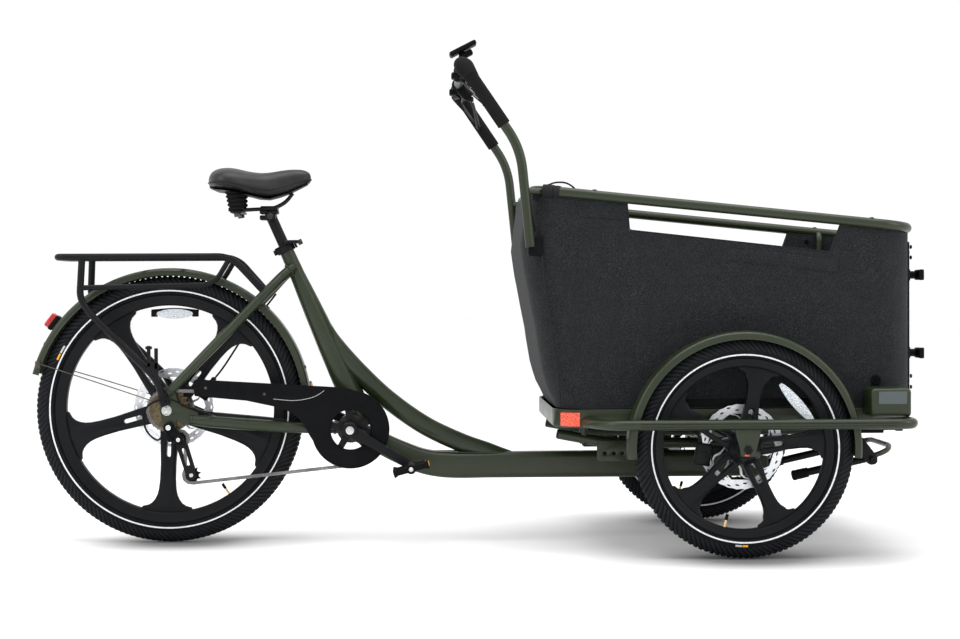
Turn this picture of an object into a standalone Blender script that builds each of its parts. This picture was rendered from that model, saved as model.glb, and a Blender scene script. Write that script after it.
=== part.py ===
"""Front-box cargo tricycle: rear frame, rear wheel and drive, and a steering front carriage.

Metres, +X forwards, +Y to the rider's left, +Z up, floor at z = 0. Places are worked out
from the rear axle and moved by REAR_AXLE_X, so that the origin lies under the middle.
"""
import math

import bmesh
import bpy
from mathutils import Matrix, Vector

# ---- driving dimensions ----
REAR_AXLE_X = -0.748
GAP = 0.0003                                # between pieces that touch
WHEELBASE = 1.377
TRACK_HALF = 0.380
REAR_WHEEL = {"outer": 0.3335, "bead": 0.2790, "opening": 0.2585, "first_spoke": 51.5}
FRONT_WHEEL = {"outer": 0.2570, "bead": 0.2030, "opening": 0.1885, "first_spoke": 7.0}
TYRE_HALF_WIDTH = 0.027
WHEEL_STEPS = 36
ROTOR_RADIUS = 0.1005
AXLE_RADIUS = 0.006
AXLE_BORE = AXLE_RADIUS + GAP
BRACKET = (0.452, 0.0, 0.283)               # bottom bracket centre
BRACKET_RADIUS = 0.034
BRACKET_HALF = 0.035
CRANK_LENGTH = 0.175
CRANK_ANGLE = -30.5
CHAIN_Y = -0.056
CHAIN_RADIUS = 0.0035
LINK = 0.0127                               # one chain pitch
CHAINRING_PITCH = 44 * LINK / (2 * math.pi)  # 44 teeth
SPROCKET_PITCH = 24 * LINK / (2 * math.pi)   # 24 teeth
JOCKEY_PITCH = 10 * LINK / (2 * math.pi)     # 10 teeth
UPPER_JOCKEY = (0.030, 0.262)
LOWER_JOCKEY = (0.058, 0.172)
SEAT_ANGLE = 66.0
SEAT_TUBE_TOP = (0.285, 0.0, 0.743)
SEAT_TUBE_FOOT = (0.4812, 0.0, 0.300)       # ahead of the bottom bracket, inside its shell
POST_RADIUS = 0.0136
POST_INSERTION = 0.14
BORE_DEPTH = 0.175
STAY_RADIUS = 0.0125
DROPOUT_Y = 0.0735
DROPOUT_HALF = 0.003
BEAM_Z = 0.1885
BEAM_HALF_WIDTH = 0.030
BEAM_HALF_HEIGHT = 0.0325
KINGPIN_RADIUS = 0.015
RACK_Z = 0.713
RACK_HALF_WIDTH = 0.070
RACK_TUBE = 0.0085
TRAY_Z = (0.300, 0.345)
BOX_HALF_WIDTH = 0.320
BOX_WALL = 0.010
RAIL_RADIUS = 0.012
RAIL_HALF_WIDTH = 0.319
RAIL_REAR = (0.897, 0.8622)
RAIL_FRONT = (1.792, 0.7705)
FLOOR_INSET = 0.003
POST_X = (1.045, 1.700)                     # the rail's posts, which pass through the box floor
POST_Y = 0.298
RAIL_POST_RADIUS = 0.0085
BUMPER_Y = 0.440
BUMPER_Z = 0.315
BUMPER_RADIUS = 0.01225
BAR_RADIUS = 0.0115
BAR_HALF_WIDTH = 0.325
GRIP_RADIUS = 0.0155
STAND_PIVOT = (1.722, 0.212)
DOOR_HINGE = (1.8055, 0.2600, 0.5600)
LATCHES = {"upper_latch": 0.659, "lower_latch": 0.472}
LEVER_PIVOT = (0.7560, 0.1500, 1.1280)

PAINTS = {
    "olive_paint": ((0.060, 0.080, 0.040), 0.38, 0.35),
    "black_metal": ((0.020, 0.020, 0.022), 0.42, 0.50),
    "tyre_rubber": ((0.018, 0.018, 0.019), 0.80, 0.00),
    "black_rubber": ((0.022, 0.022, 0.023), 0.75, 0.00),
    "black_plastic": ((0.018, 0.018, 0.019), 0.50, 0.00),
    "saddle_cover": ((0.020, 0.020, 0.021), 0.45, 0.00),
    "felt": ((0.060, 0.060, 0.065), 0.95, 0.00),
    "steel": ((0.600, 0.600, 0.600), 0.30, 1.00),
    "dark_steel": ((0.220, 0.190, 0.140), 0.35, 1.00),
    "red_lens": ((0.550, 0.020, 0.015), 0.20, 0.00),
}


# ---- scene ----
def clear_scene():
    for thing in list(bpy.data.objects):
        bpy.data.objects.remove(thing, do_unlink=True)


def new_collection(name):
    collection = bpy.data.collections.new(name)
    bpy.context.scene.collection.children.link(collection)
    return collection


def at(x, y, z):
    """A point measured from below the rear axle."""
    return Vector((x + REAR_AXLE_X, y, z))


def paint(name, finish):
    """One Principled material for one part."""
    colour, roughness, metallic = PAINTS[finish]
    material = bpy.data.materials.new(name)
    material.use_nodes = True
    shader = material.node_tree.nodes["Principled BSDF"]
    shader.inputs["Base Color"].default_value = (*colour, 1.0)
    shader.inputs["Roughness"].default_value = roughness
    shader.inputs["Metallic"].default_value = metallic
    material.diffuse_color = (*colour, 1.0)
    return material


def place(name, mesh, finish, origin=None):
    """Adds a finished mesh as a named part, with its origin on the joint it turns about."""
    if origin is not None:
        mesh.transform(Matrix.Translation(-origin))
    part = bpy.data.objects.new(name, mesh)
    if origin is not None:
        part.location = origin
    mesh.materials.clear()
    mesh.materials.append(paint(name, finish))
    mesh.shade_smooth()
    mesh.set_sharp_from_angle(angle=math.radians(35))
    PARTS.objects.link(part)
    return part


# ---- meshes from Blender's tools ----
def from_bmesh(shape):
    mesh = bpy.data.meshes.new("shape")
    shape.to_mesh(mesh)
    shape.free()
    return mesh


def tidied(mesh, weld=1e-6):
    """Welds loose caps and seams, and points every face outwards."""
    shape = bmesh.new()
    shape.from_mesh(mesh)
    bmesh.ops.remove_doubles(shape, verts=shape.verts, dist=weld)
    bmesh.ops.recalc_face_normals(shape, faces=shape.faces)
    shape.to_mesh(mesh)
    shape.free()
    return mesh


def evaluated(data, matrix=Matrix.Identity(4), modifiers=()):
    """Mesh of a curve or mesh with its modifiers applied; each modifier is (type, settings)."""
    guide = bpy.data.objects.new("guide", data)
    bpy.context.scene.collection.objects.link(guide)
    for kind, settings in modifiers:
        modifier = guide.modifiers.new(kind.title(), kind)
        for key, value in settings.items():
            setattr(modifier, key, value)
    bpy.context.view_layer.update()
    graph = bpy.context.evaluated_depsgraph_get()
    mesh = bpy.data.meshes.new_from_object(guide.evaluated_get(graph))
    bpy.data.objects.remove(guide, do_unlink=True)
    mesh.transform(matrix)
    return tidied(mesh)


def combined(first, others, operation):
    """Boolean UNION or DIFFERENCE of one mesh with several others."""
    scene = bpy.context.scene.collection
    body = bpy.data.objects.new("body", first)
    scene.objects.link(body)
    helpers = []
    for other in others:
        helper = bpy.data.objects.new("cutter", other)
        helper.hide_render = True
        helper.display_type = "WIRE"
        CUTTERS.objects.link(helper)
        modifier = body.modifiers.new("Boolean", "BOOLEAN")
        modifier.operation = operation
        modifier.solver = "EXACT"
        modifier.object = helper
        helpers.append(helper)
    bpy.context.view_layer.update()
    graph = bpy.context.evaluated_depsgraph_get()
    mesh = bpy.data.meshes.new_from_object(body.evaluated_get(graph))
    for thing in [body, *helpers]:
        bpy.data.objects.remove(thing, do_unlink=True)
    return tidied(mesh)


def union(first, *others):
    return combined(first, others, "UNION")


def cut(first, *others):
    return combined(first, others, "DIFFERENCE")


def box(centre, size, turn=Matrix.Identity(4), bevel=0.0):
    shape = bmesh.new()
    bmesh.ops.create_cube(shape, size=1.0)
    bmesh.ops.scale(shape, vec=Vector(size), verts=shape.verts)
    if bevel:
        bmesh.ops.bevel(shape, geom=shape.edges[:], offset=bevel, segments=1, affect="EDGES")
    mesh = from_bmesh(shape)
    mesh.transform(Matrix.Translation(centre) @ turn)
    return mesh


def rod(start, end, radius, end_radius=None, sides=16):
    """A round bar or cone between two points."""
    run = end - start
    shape = bmesh.new()
    bmesh.ops.create_cone(shape, cap_ends=True, segments=sides, radius1=radius,
                          radius2=radius if end_radius is None else end_radius, depth=run.length)
    mesh = from_bmesh(shape)
    turn = run.to_track_quat("Z", "Y").to_matrix().to_4x4()
    mesh.transform(Matrix.Translation((start + end) / 2) @ turn)
    return mesh


def tube(points, radius, resolution=2, cyclic=False, section=None):
    """A bevelled curve through points; radius is one number, or one for each point."""
    radii = radius if isinstance(radius, (list, tuple)) else [radius] * len(points)
    curve = bpy.data.curves.new("tube", "CURVE")
    curve.dimensions = "3D"
    curve.use_fill_caps = True
    spline = curve.splines.new("POLY")
    spline.points.add(len(points) - 1)
    for point, place_at, r in zip(spline.points, points, radii):
        point.co = (*place_at, 1.0)
        point.radius = r
    spline.use_cyclic_u = cyclic
    if section is None:
        curve.bevel_depth = 1.0
        curve.bevel_resolution = resolution
        return evaluated(curve)
    curve.bevel_mode = "OBJECT"
    curve.bevel_object = section
    mesh = evaluated(curve)
    bpy.data.objects.remove(section, do_unlink=True)
    return mesh


def bent(points, radius, steps=3):
    """A polyline with each inner corner rounded off over about that radius."""
    route = [points[0]]
    for before, corner, after in zip(points, points[1:], points[2:]):
        reach = min(radius, (corner - before).length * 0.49, (after - corner).length * 0.49)
        start = corner + (before - corner).normalized() * reach
        end = corner + (after - corner).normalized() * reach
        for i in range(steps + 1):
            t = i / steps
            route.append(start * (1 - t) ** 2 + corner * 2 * t * (1 - t) + end * t ** 2)
    route.append(points[-1])
    return route


def smooth(points, steps=3):
    """A Catmull-Rom curve through points."""
    ends = [points[0] * 2 - points[1], *points, points[-1] * 2 - points[-2]]
    route = []
    for a, b, c, d in zip(ends, ends[1:], ends[2:], ends[3:]):
        for i in range(steps):
            t = i / steps
            route.append(0.5 * (2 * b + (c - a) * t + (2 * a - 5 * b + 4 * c - d) * t ** 2
                                + (3 * b - a - 3 * c + d) * t ** 3))
    route.append(points[-1])
    return route


UPRIGHT = Matrix.Rotation(math.radians(90), 4, "X")        # local XY to the XZ plane
ALONG_Y = Matrix.Rotation(math.radians(-90), 4, "X")       # local Z to +Y


def plate(outlines, y, thickness):
    """A flat plate in the XZ plane from closed outlines of (x, z); inner outlines are holes."""
    curve = bpy.data.curves.new("plate", "CURVE")
    curve.dimensions = "2D"
    curve.fill_mode = "BOTH"
    curve.extrude = thickness / 2
    for outline in outlines:
        spline = curve.splines.new("POLY")
        spline.points.add(len(outline) - 1)
        for point, (x, z) in zip(spline.points, outline):
            point.co = (x, z, 0.0, 1.0)
        spline.use_cyclic_u = True
    return evaluated(curve, Matrix.Translation(at(0, y, 0)) @ UPRIGHT)


def arc(centre, radius, first, last, steps):
    """Points (x, z) round a centre, from one angle to another in degrees."""
    angles = [math.radians(first + (last - first) * i / steps) for i in range(steps + 1)]
    return [(centre[0] + radius * math.cos(a), centre[1] + radius * math.sin(a)) for a in angles]


def circle(centre, radius, steps):
    return arc(centre, radius, 0, 360, steps)[:-1]


def turned(profile, centre, steps, first=0.0, angle=360.0, closed=True, thickness=0.0):
    """Turns a profile of (radius, y) about a level axis through centre, from first degrees
    above +X; a part turn is an open skin, which thickness makes solid."""
    mesh = bpy.data.meshes.new("profile")
    count = len(profile)
    edges = [(i, i + 1) for i in range(count - 1)]
    if closed:
        edges.append((count - 1, 0))
    mesh.from_pydata([(radius, 0.0, y) for radius, y in profile], edges, [])
    modifiers = [("SCREW", {"angle": math.radians(-angle), "steps": steps, "render_steps": steps,
                            "merge_threshold": 1e-5, "use_merge_vertices": True})]
    if thickness:
        modifiers.append(("SOLIDIFY", {"thickness": thickness, "offset": 0.0,
                                       "use_even_offset": True}))
    start = Matrix.Rotation(math.radians(-first), 4, "Z")
    return evaluated(mesh, Matrix.Translation(centre) @ ALONG_Y @ start, modifiers)


def loft(rings, closed_ends=(True, True)):
    """Joins closed rings of equally many points, and fills the end rings."""
    shape = bmesh.new()
    loops = [[shape.verts.new(point) for point in ring] for ring in rings]
    count = len(rings[0])
    for low, high in zip(loops, loops[1:]):
        for i in range(count):
            j = (i + 1) % count
            shape.faces.new((low[i], low[j], high[j], high[i]))
    if closed_ends[0]:
        shape.faces.new(reversed(loops[0]))
    if closed_ends[1]:
        shape.faces.new(loops[-1])
    return from_bmesh(shape)


def mirrored(points):
    return [Vector((p.x, -p.y, p.z)) for p in points]


def flipped(mesh):
    """The same mesh on the other side of the vehicle."""
    mesh.transform(Matrix.Scale(-1, 4, Vector((0, 1, 0))))
    return tidied(mesh)


# ---- wheels ----
def tyre(size, centre):
    """A full tyre: tread crown outside, bead against the rim inside."""
    outer = size["outer"]
    half = TYRE_HALF_WIDTH
    side = [(outer - 0.0090, 0.0190), (outer - 0.0330, half), (size["bead"], 0.0165)]
    profile = [(outer, 0.0), *side, *[(r, -y) for r, y in reversed(side)]]
    return turned(profile, centre, WHEEL_STEPS)


def spoke(size, degrees, centre, half_thickness):
    """A flat arm that flares into the rim."""
    end = size["opening"] + 0.006
    flare = size["opening"] * 0.18
    widths = [(0.034, 0.0215), (end - 0.075, 0.0220), (end - 0.035, 0.6 * flare),
              (end - 0.010, flare), (end, 1.1 * flare)]
    outline = [(r, w) for r, w in widths] + [(r, -w) for r, w in reversed(widths)]
    arm = plate([outline], 0.0, half_thickness * 2)
    arm.transform(Matrix.Translation(-at(0, 0, 0)))
    turn = Matrix.Rotation(math.radians(-degrees), 4, "Y")
    arm.transform(Matrix.Translation(centre) @ turn)
    return arm


def mag_wheel(size, centre, hub_profile):
    """Cast rim, hub and five arms in one piece."""
    bead = size["bead"] - GAP
    opening = size["opening"]
    rim = turned([(bead, 0.0165), (opening, 0.0125), (opening, -0.0125), (bead, -0.0165)], centre,
                 WHEEL_STEPS)
    hub = turned(hub_profile, centre, 12)
    arms = [spoke(size, size["first_spoke"] + 72 * i, centre, 0.010) for i in range(5)]
    return union(rim, hub, *arms)


def axle_bore(centre):
    reach = Vector((0, 0.2, 0))
    return rod(centre - reach, centre + reach, AXLE_BORE, sides=12)


def rotor(centre, y, thickness=0.0018):
    """Brake disc: a ring on six arms, with a centre hole."""
    hub = (centre.x - REAR_AXLE_X, centre.z)
    windows = []
    for i in range(6):
        low, high = i * 60 + 9, i * 60 + 51
        windows.append(arc(hub, 0.078, low, high, 3) + arc(hub, 0.036, high - 6, low + 6, 1))
    outlines = [circle(hub, ROTOR_RADIUS, 28), circle(hub, 0.0225, 12), *windows]
    return plate(outlines, y, thickness)


def rear_wheel():
    centre = at(0, 0, REAR_WHEEL["outer"])
    hub = [(0.022, 0.0585), (0.022, 0.0545), (0.036, 0.0545), (0.050, 0.034), (0.050, -0.034),
           (0.030, -0.0455), (AXLE_BORE, -0.0455), (AXLE_BORE, 0.0585)]
    place("rear_tyre", tyre(REAR_WHEEL, centre), "tyre_rubber", centre)
    place("rear_mag_wheel", mag_wheel(REAR_WHEEL, centre, hub), "black_metal", centre)
    place("rear_rotor", rotor(centre, 0.0557), "steel", centre)


def front_wheel(side, name):
    """side is -1 on the right, +1 on the left; the rotor is on the inner side."""
    centre = at(WHEELBASE, side * TRACK_HALF, FRONT_WHEEL["outer"])
    hub = [(0.022, -0.0375), (0.022, -0.0345), (0.038, -0.0345), (0.040, 0.020), (0.026, 0.045),
           (AXLE_BORE, 0.045), (AXLE_BORE, -0.0375)]
    profile = [(r, side * y) for r, y in hub]
    place(f"{name}_tyre", tyre(FRONT_WHEEL, centre), "tyre_rubber", centre)
    place(f"{name}_mag_wheel", mag_wheel(FRONT_WHEEL, centre, profile), "black_metal", centre)
    place(f"{name}_rotor", rotor(centre, side * (TRACK_HALF - 0.0357)), "steel", centre)


# ---- rear frame ----
def seat_up():
    """Unit vector up along the seat post."""
    angle = math.radians(SEAT_ANGLE)
    return Vector((-math.cos(angle), 0.0, math.sin(angle)))


def seat_tube_shape(extra=0.0):
    top = at(*SEAT_TUBE_TOP)
    knee = top - seat_up() * 0.17
    foot = at(*SEAT_TUBE_FOOT)
    points = [top, top.lerp(knee, 0.5), knee, knee.lerp(foot, 0.35), knee.lerp(foot, 0.7), foot]
    radii = [0.0175, 0.0190, 0.0240, 0.0285, 0.0315, 0.0320]
    return tube(points, [r + extra for r in radii], resolution=6)


def bracket_shell(extra=0.0):
    centre = at(*BRACKET)
    half = Vector((0, BRACKET_HALF + extra, 0))
    return rod(centre - half, centre + half, BRACKET_RADIUS + extra, sides=28)


def seat_tube():
    top = at(*SEAT_TUBE_TOP)
    up = seat_up()
    centre = at(*BRACKET)
    reach = Vector((0, 0.1, 0))
    post_bore = rod(top + up * 0.01, top - up * BORE_DEPTH, POST_RADIUS + GAP, sides=20)
    spindle_bore = rod(centre - reach, centre + reach, 0.0123)
    frame = cut(union(seat_tube_shape(), bracket_shell()), post_bore, spindle_bore)
    place("seat_tube", frame, "olive_paint")


def rounded_section(half_width, half_height, corner, name):
    """A rounded rectangle that a curve's bevel follows."""
    outline = []
    corners = [(1, 1, 0), (-1, 1, 90), (-1, -1, 180), (1, -1, 270)]
    for sx, sz, first in corners:
        centre = (sx * (half_width - corner), sz * (half_height - corner))
        outline += arc(centre, corner, first, first + 90, 2)
    curve = bpy.data.curves.new(name, "CURVE")
    curve.dimensions = "2D"
    spline = curve.splines.new("POLY")
    spline.points.add(len(outline) - 1)
    for point, (u, v) in zip(spline.points, outline):
        point.co = (u, v, 0.0, 1.0)
    spline.use_cyclic_u = True
    section = bpy.data.objects.new(name, curve)
    CUTTERS.objects.link(section)
    return section


def beam_shape(extra=0.0):
    """The low beam: from the bottom bracket down and forward under the box."""
    route = smooth([at(0.452, 0, 0.281), at(0.511, 0, 0.252), at(0.574, 0, 0.221),
                    at(0.636, 0, 0.197), at(0.705, 0, BEAM_Z), at(0.80, 0, BEAM_Z)])
    route += [at(1.10, 0, BEAM_Z), at(1.50, 0, BEAM_Z)]
    sizes = [min(1.0, 0.74 + 0.26 * i / 12) for i in range(len(route))]
    section = rounded_section(BEAM_HALF_WIDTH + extra, BEAM_HALF_HEIGHT + extra, 0.014, "beam_section")
    return tube(route, sizes, section=section)


def main_beam():
    kingpin = rod(at(WHEELBASE, 0, BEAM_Z), at(WHEELBASE, 0, 0.290), KINGPIN_RADIUS)
    beam = cut(beam_shape(), bracket_shell(GAP), seat_tube_shape(GAP))
    place("main_beam", union(beam, kingpin), "olive_paint")


def curved_tube():
    """The step-through tube that leaves the seat tube's front and runs into the beam."""
    points = [at(0.358, 0, 0.590), at(0.384, 0, 0.540), at(0.413, 0, 0.490), at(0.477, 0, 0.417),
              at(0.547, 0, 0.351), at(0.634, 0, 0.289), at(0.720, 0, 0.247), at(0.790, 0, 0.222),
              at(0.870, 0, 0.197)]
    radii = [0.012, 0.018, 0.0225, 0.0235, 0.024, 0.024, 0.024, 0.0235, 0.020]
    steps = 2
    route = smooth(points, steps)
    sizes = [radii[i // steps] for i in range(len(route))]
    shape = tube(route, sizes, resolution=3)
    place("curved_tube", cut(shape, seat_tube_shape(GAP), beam_shape(GAP)), "olive_paint")


def seat_stay_points():
    return [at(0.310, -0.0150, 0.688), at(0.281, -0.0290, 0.662), at(0.235, -0.0500, 0.614),
            at(0.003, -0.0740, 0.376)]


def stays(hanger):
    """Seat stay, chain stay and dropout of the right side as one welded piece."""
    seat_stay = tube(seat_stay_points(), [STAY_RADIUS] * 3 + [0.0105], resolution=3)
    chain_stay = tube([at(0.058, -DROPOUT_Y, 0.3135), at(0.110, -0.0740, 0.3070),
                       at(0.300, -0.048, 0.2885), at(0.430, -0.028, 0.284)],
                      [0.0120, 0.0140, 0.0140, 0.0125], resolution=3)
    outline = [(-0.016, 0.338), (-0.010, 0.366), (-0.006, 0.384), (0.016, 0.392), (0.022, 0.352),
               (0.075, 0.326), (0.075, 0.300), (0.050, 0.300), (0.022, 0.316), (-0.012, 0.318)]
    if hanger:
        outline[-2:] = [(0.020, 0.312), (0.018, 0.286), (-0.004, 0.286), (-0.012, 0.318)]
    dropout = plate([outline], -DROPOUT_Y, DROPOUT_HALF * 2)
    joined = union(seat_stay, chain_stay, dropout)
    axle = at(0, 0, REAR_WHEEL["outer"])
    return cut(joined, seat_tube_shape(GAP), bracket_shell(GAP), axle_bore(axle))


def rear_stays():
    place("stays_right", stays(hanger=True), "olive_paint")
    place("stays_left", flipped(stays(hanger=False)), "olive_paint")


def rear_axle():
    """Through axle with the cones inside the dropouts and the nuts outside them."""
    inner = DROPOUT_Y - DROPOUT_HALF - GAP
    outer = DROPOUT_Y + DROPOUT_HALF + GAP
    nut = [(AXLE_RADIUS, outer), (0.0105, outer), (0.0105, outer + 0.009), (0.0, outer + 0.012)]
    left = [(AXLE_RADIUS, 0.0590), (0.011, 0.0590), (0.011, inner), (AXLE_RADIUS, inner), *nut]
    right = [(AXLE_RADIUS, 0.0648), (0.011, 0.0648), (0.011, inner), (AXLE_RADIUS, inner), *nut]
    profile = [(r, -y) for r, y in reversed(right)] + left
    mesh = turned(profile, at(0, 0, REAR_WHEEL["outer"]), 12, closed=False)
    place("rear_axle", mesh, "steel")


def fender(size, clearance, centre, half_width, first, last, steps, skirt=0.018):
    """A thin channel round the top of a wheel."""
    radius = size["outer"] + clearance
    profile = [(radius - skirt, -half_width), (radius - 0.004, -half_width), (radius, -half_width / 2),
               (radius, half_width / 2), (radius - 0.004, half_width), (radius - skirt, half_width)]
    return turned(profile, centre, steps, first, last - first, closed=False, thickness=0.002)


def rear_fender():
    mesh = fender(REAR_WHEEL, 0.0185, at(0, 0, REAR_WHEEL["outer"]), 0.032, 3, 165, 17)
    place("rear_fender", mesh, "olive_paint")


def rack_side_route():
    """The rack's upper tube on the right, from the rear corner to the seat stay."""
    return bent([at(-0.248, -RACK_HALF_WIDTH, RACK_Z), at(0.160, -RACK_HALF_WIDTH, RACK_Z),
                 at(0.240, -0.043, 0.624)], 0.030)


def rack_deck_shape(extra=0.0):
    right = rack_side_route()
    corner = bent([right[1], at(-0.2685, -RACK_HALF_WIDTH, RACK_Z),
                   at(-0.2685, 0, RACK_Z)], 0.022)[1:-1]
    half = list(reversed(right))[:-1] + corner
    route = half + list(reversed(mirrored(half)))
    return tube(route, RACK_TUBE + extra)


def rack_deck():
    bars = [rod(at(x, -RACK_HALF_WIDTH, RACK_Z), at(x, RACK_HALF_WIDTH, RACK_Z), 0.006, sides=10)
            for x in (-0.175, -0.070, 0.035, 0.130)]
    stay = tube(seat_stay_points(), [STAY_RADIUS + GAP] * 4, resolution=3)
    stay_left = tube(mirrored(seat_stay_points()), [STAY_RADIUS + GAP] * 4, resolution=3)
    place("rack_deck", cut(union(rack_deck_shape(), *bars), stay, stay_left), "black_metal")


def rack_side():
    """Leg from the deck to the axle, with the level side bar that meets the deck's front."""
    leg = tube(bent([at(-0.206, -0.070, 0.7075), at(-0.211, -0.076, 0.612),
                     at(-0.188, -0.080, 0.576), at(-0.020, -0.0895, 0.409),
                     at(-0.004, -0.0895, 0.362)], 0.025), RACK_TUBE)
    bar = tube(bent([at(-0.212, -0.0745, 0.637), at(0.118, -0.072, 0.643),
                     at(0.155, -0.069, 0.701)], 0.030), 0.0065)
    stay = tube(seat_stay_points(), [STAY_RADIUS + GAP] * 4, resolution=3)
    return cut(union(leg, bar), rack_deck_shape(GAP), stay)


def rack_sides():
    place("rack_side_right", rack_side(), "black_metal")
    place("rack_side_left", flipped(rack_side()), "black_metal")


def rear_light():
    """A wedge-shaped lamp on the fender's rear."""
    angle = math.radians(143)
    out = Vector((math.cos(angle), 0, math.sin(angle)))
    foot = at(0, 0, REAR_WHEEL["outer"]) + out * (REAR_WHEEL["outer"] + 0.0215)
    turn = out.to_track_quat("Z", "Y").to_matrix().to_4x4()
    body = box(foot + out * 0.0125, (0.034, 0.040, 0.0225), turn, bevel=0.004)
    place("rear_light", body, "red_lens")


# ---- drive ----
def chain_route():
    """Centreline of the chain as (x, z): chainring, sprocket, upper and lower jockey wheel."""
    bracket = (BRACKET[0], BRACKET[2])
    axle = (0.0, REAR_WHEEL["outer"])
    route = arc(bracket, CHAINRING_PITCH, -82, 95, 12)
    route += arc(axle, SPROCKET_PITCH, 96, 262, 9)
    route += arc(UPPER_JOCKEY, JOCKEY_PITCH, 80, -50, 5)
    route += arc(LOWER_JOCKEY, JOCKEY_PITCH, 140, 276, 6)
    return [at(x, CHAIN_Y, z) for x, z in route]


def chain():
    place("chain", tube(chain_route(), CHAIN_RADIUS, resolution=1, cyclic=True), "steel")


def cassette():
    centre = at(0, 0, REAR_WHEEL["outer"])
    profile = [(0.057, -0.0458), (0.057, -0.0520), (0.0430, -0.0520), (0.0300, -0.0645),
               (AXLE_BORE, -0.0645), (AXLE_BORE, -0.0458)]
    place("cassette", turned(profile, centre, 20), "dark_steel", centre)


def crank_arm(side, angle):
    """One arm with the pedal's spindle in its outer end."""
    centre = at(*BRACKET)
    direction = Vector((math.cos(math.radians(angle)), 0, math.sin(math.radians(angle))))
    eye = centre + direction * CRANK_LENGTH
    inner = Vector((0, side * 0.0845, 0))
    outer = Vector((0, side * 0.0985, 0))
    middle = (inner + outer) / 2
    turn = direction.to_track_quat("X", "Z").to_matrix().to_4x4()
    arm = box((centre + eye) / 2 + middle, (CRANK_LENGTH, 0.012, 0.022), turn, bevel=0.004)
    boss = rod(centre + Vector((0, side * 0.0700, 0)), centre + outer, 0.019)
    end = rod(eye + inner, eye + outer, 0.0135)
    spindle = rod(eye + inner, eye + Vector((0, side * 0.190, 0)), AXLE_RADIUS, sides=12)
    return [arm, boss, end, spindle], eye


def crankset():
    centre = at(*BRACKET)
    reach = Vector((0, 0.098, 0))
    spindle = rod(centre - reach, centre + reach, 0.0120)
    carrier = rod(centre + Vector((0, -0.0720, 0)), centre + Vector((0, -0.0500, 0)), 0.0200)
    right, right_eye = crank_arm(-1, CRANK_ANGLE)
    left, left_eye = crank_arm(1, CRANK_ANGLE + 180)
    place("crankset", union(spindle, carrier, *right, *left), "black_metal", centre)
    for name, eye, side in (("pedal_right", right_eye, -1), ("pedal_left", left_eye, 1)):
        pedal(name, eye, side)


def pedal(name, eye, side):
    """A flat platform that turns on the crank's spindle."""
    middle = eye + Vector((0, side * 0.1450, 0))
    turn = Matrix.Rotation(math.radians(-15), 4, "Y")
    platform = box(middle, (0.090, 0.086, 0.022), turn, bevel=0.004)
    place(name, cut(platform, axle_bore(middle)), "black_plastic", middle)


def chainring():
    bracket = (BRACKET[0], BRACKET[2])
    windows = []
    for i in range(5):
        low, high = i * 72 + 14, i * 72 + 58
        windows.append(arc(bracket, 0.062, low, high, 4) + arc(bracket, 0.030, high - 4, low + 4, 2))
    teeth = CHAINRING_PITCH - CHAIN_RADIUS - GAP * 2
    outlines = [circle(bracket, teeth, 36), circle(bracket, 0.0203, 16), *windows]
    place("chainring", plate(outlines, CHAIN_Y, 0.003), "black_metal", at(*BRACKET))


def chain_guard():
    """Flat cover over the upper chain run, with a round front and a hole for the crank."""
    bracket = (BRACKET[0], BRACKET[2])
    outline = [(0.070, 0.369), (0.195, 0.357), (0.269, 0.341), (0.318, 0.318), (0.345, 0.286)]
    outline += arc(bracket, 0.0960, 205, 440, 20)
    outline += [(0.400, 0.389), (0.072, 0.409), (0.066, 0.402)]
    hole = circle(bracket, 0.050, 24)
    place("chain_guard", plate([outline, hole], -0.0670, 0.004), "black_plastic")


def derailleur_body():
    """Hanger bolt, link and cage pivot."""
    bolt = (0.006, 0.292)
    outer = -DROPOUT_Y - DROPOUT_HALF - GAP
    knuckle = rod(at(bolt[0], -0.0930, bolt[1]), at(bolt[0], outer, bolt[1]), 0.0125)
    pivot = rod(at(UPPER_JOCKEY[0], -0.0930, UPPER_JOCKEY[1]),
                at(UPPER_JOCKEY[0], -0.0653, UPPER_JOCKEY[1]), 0.0115)
    start, end = at(bolt[0], -0.0865, bolt[1]), at(UPPER_JOCKEY[0], -0.0865, UPPER_JOCKEY[1])
    turn = (end - start).to_track_quat("X", "Z").to_matrix().to_4x4()
    link = box((start + end) / 2, ((end - start).length + 0.006, 0.012, 0.024), turn, bevel=0.003)
    place("derailleur_body", union(knuckle, link, pivot), "black_metal")


def derailleur_cage():
    """Two plates with the jockey wheels' pins between them."""
    run = math.degrees(math.atan2(LOWER_JOCKEY[1] - UPPER_JOCKEY[1],
                                  LOWER_JOCKEY[0] - UPPER_JOCKEY[0]))
    outline = arc(LOWER_JOCKEY, 0.0125, run - 90, run + 90, 6)
    outline += arc(UPPER_JOCKEY, 0.0125, run + 90, run + 270, 6)
    pieces = [plate([outline], y, 0.0015) for y in (-0.0642, -0.0478)]
    for x, z in (UPPER_JOCKEY, LOWER_JOCKEY):
        pieces.append(rod(at(x, -0.0642, z), at(x, -0.0478, z), 0.0030, sides=10))
    place("derailleur_cage", union(*pieces), "black_metal")
    for name, (x, z) in (("upper_jockey", UPPER_JOCKEY), ("lower_jockey", LOWER_JOCKEY)):
        wheel = plate([circle((x, z), JOCKEY_PITCH - CHAIN_RADIUS - GAP * 2, 22),
                       circle((x, z), 0.0034, 10)], CHAIN_Y, 0.006)
        place(name, wheel, "black_plastic", at(x, CHAIN_Y, z))


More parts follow.
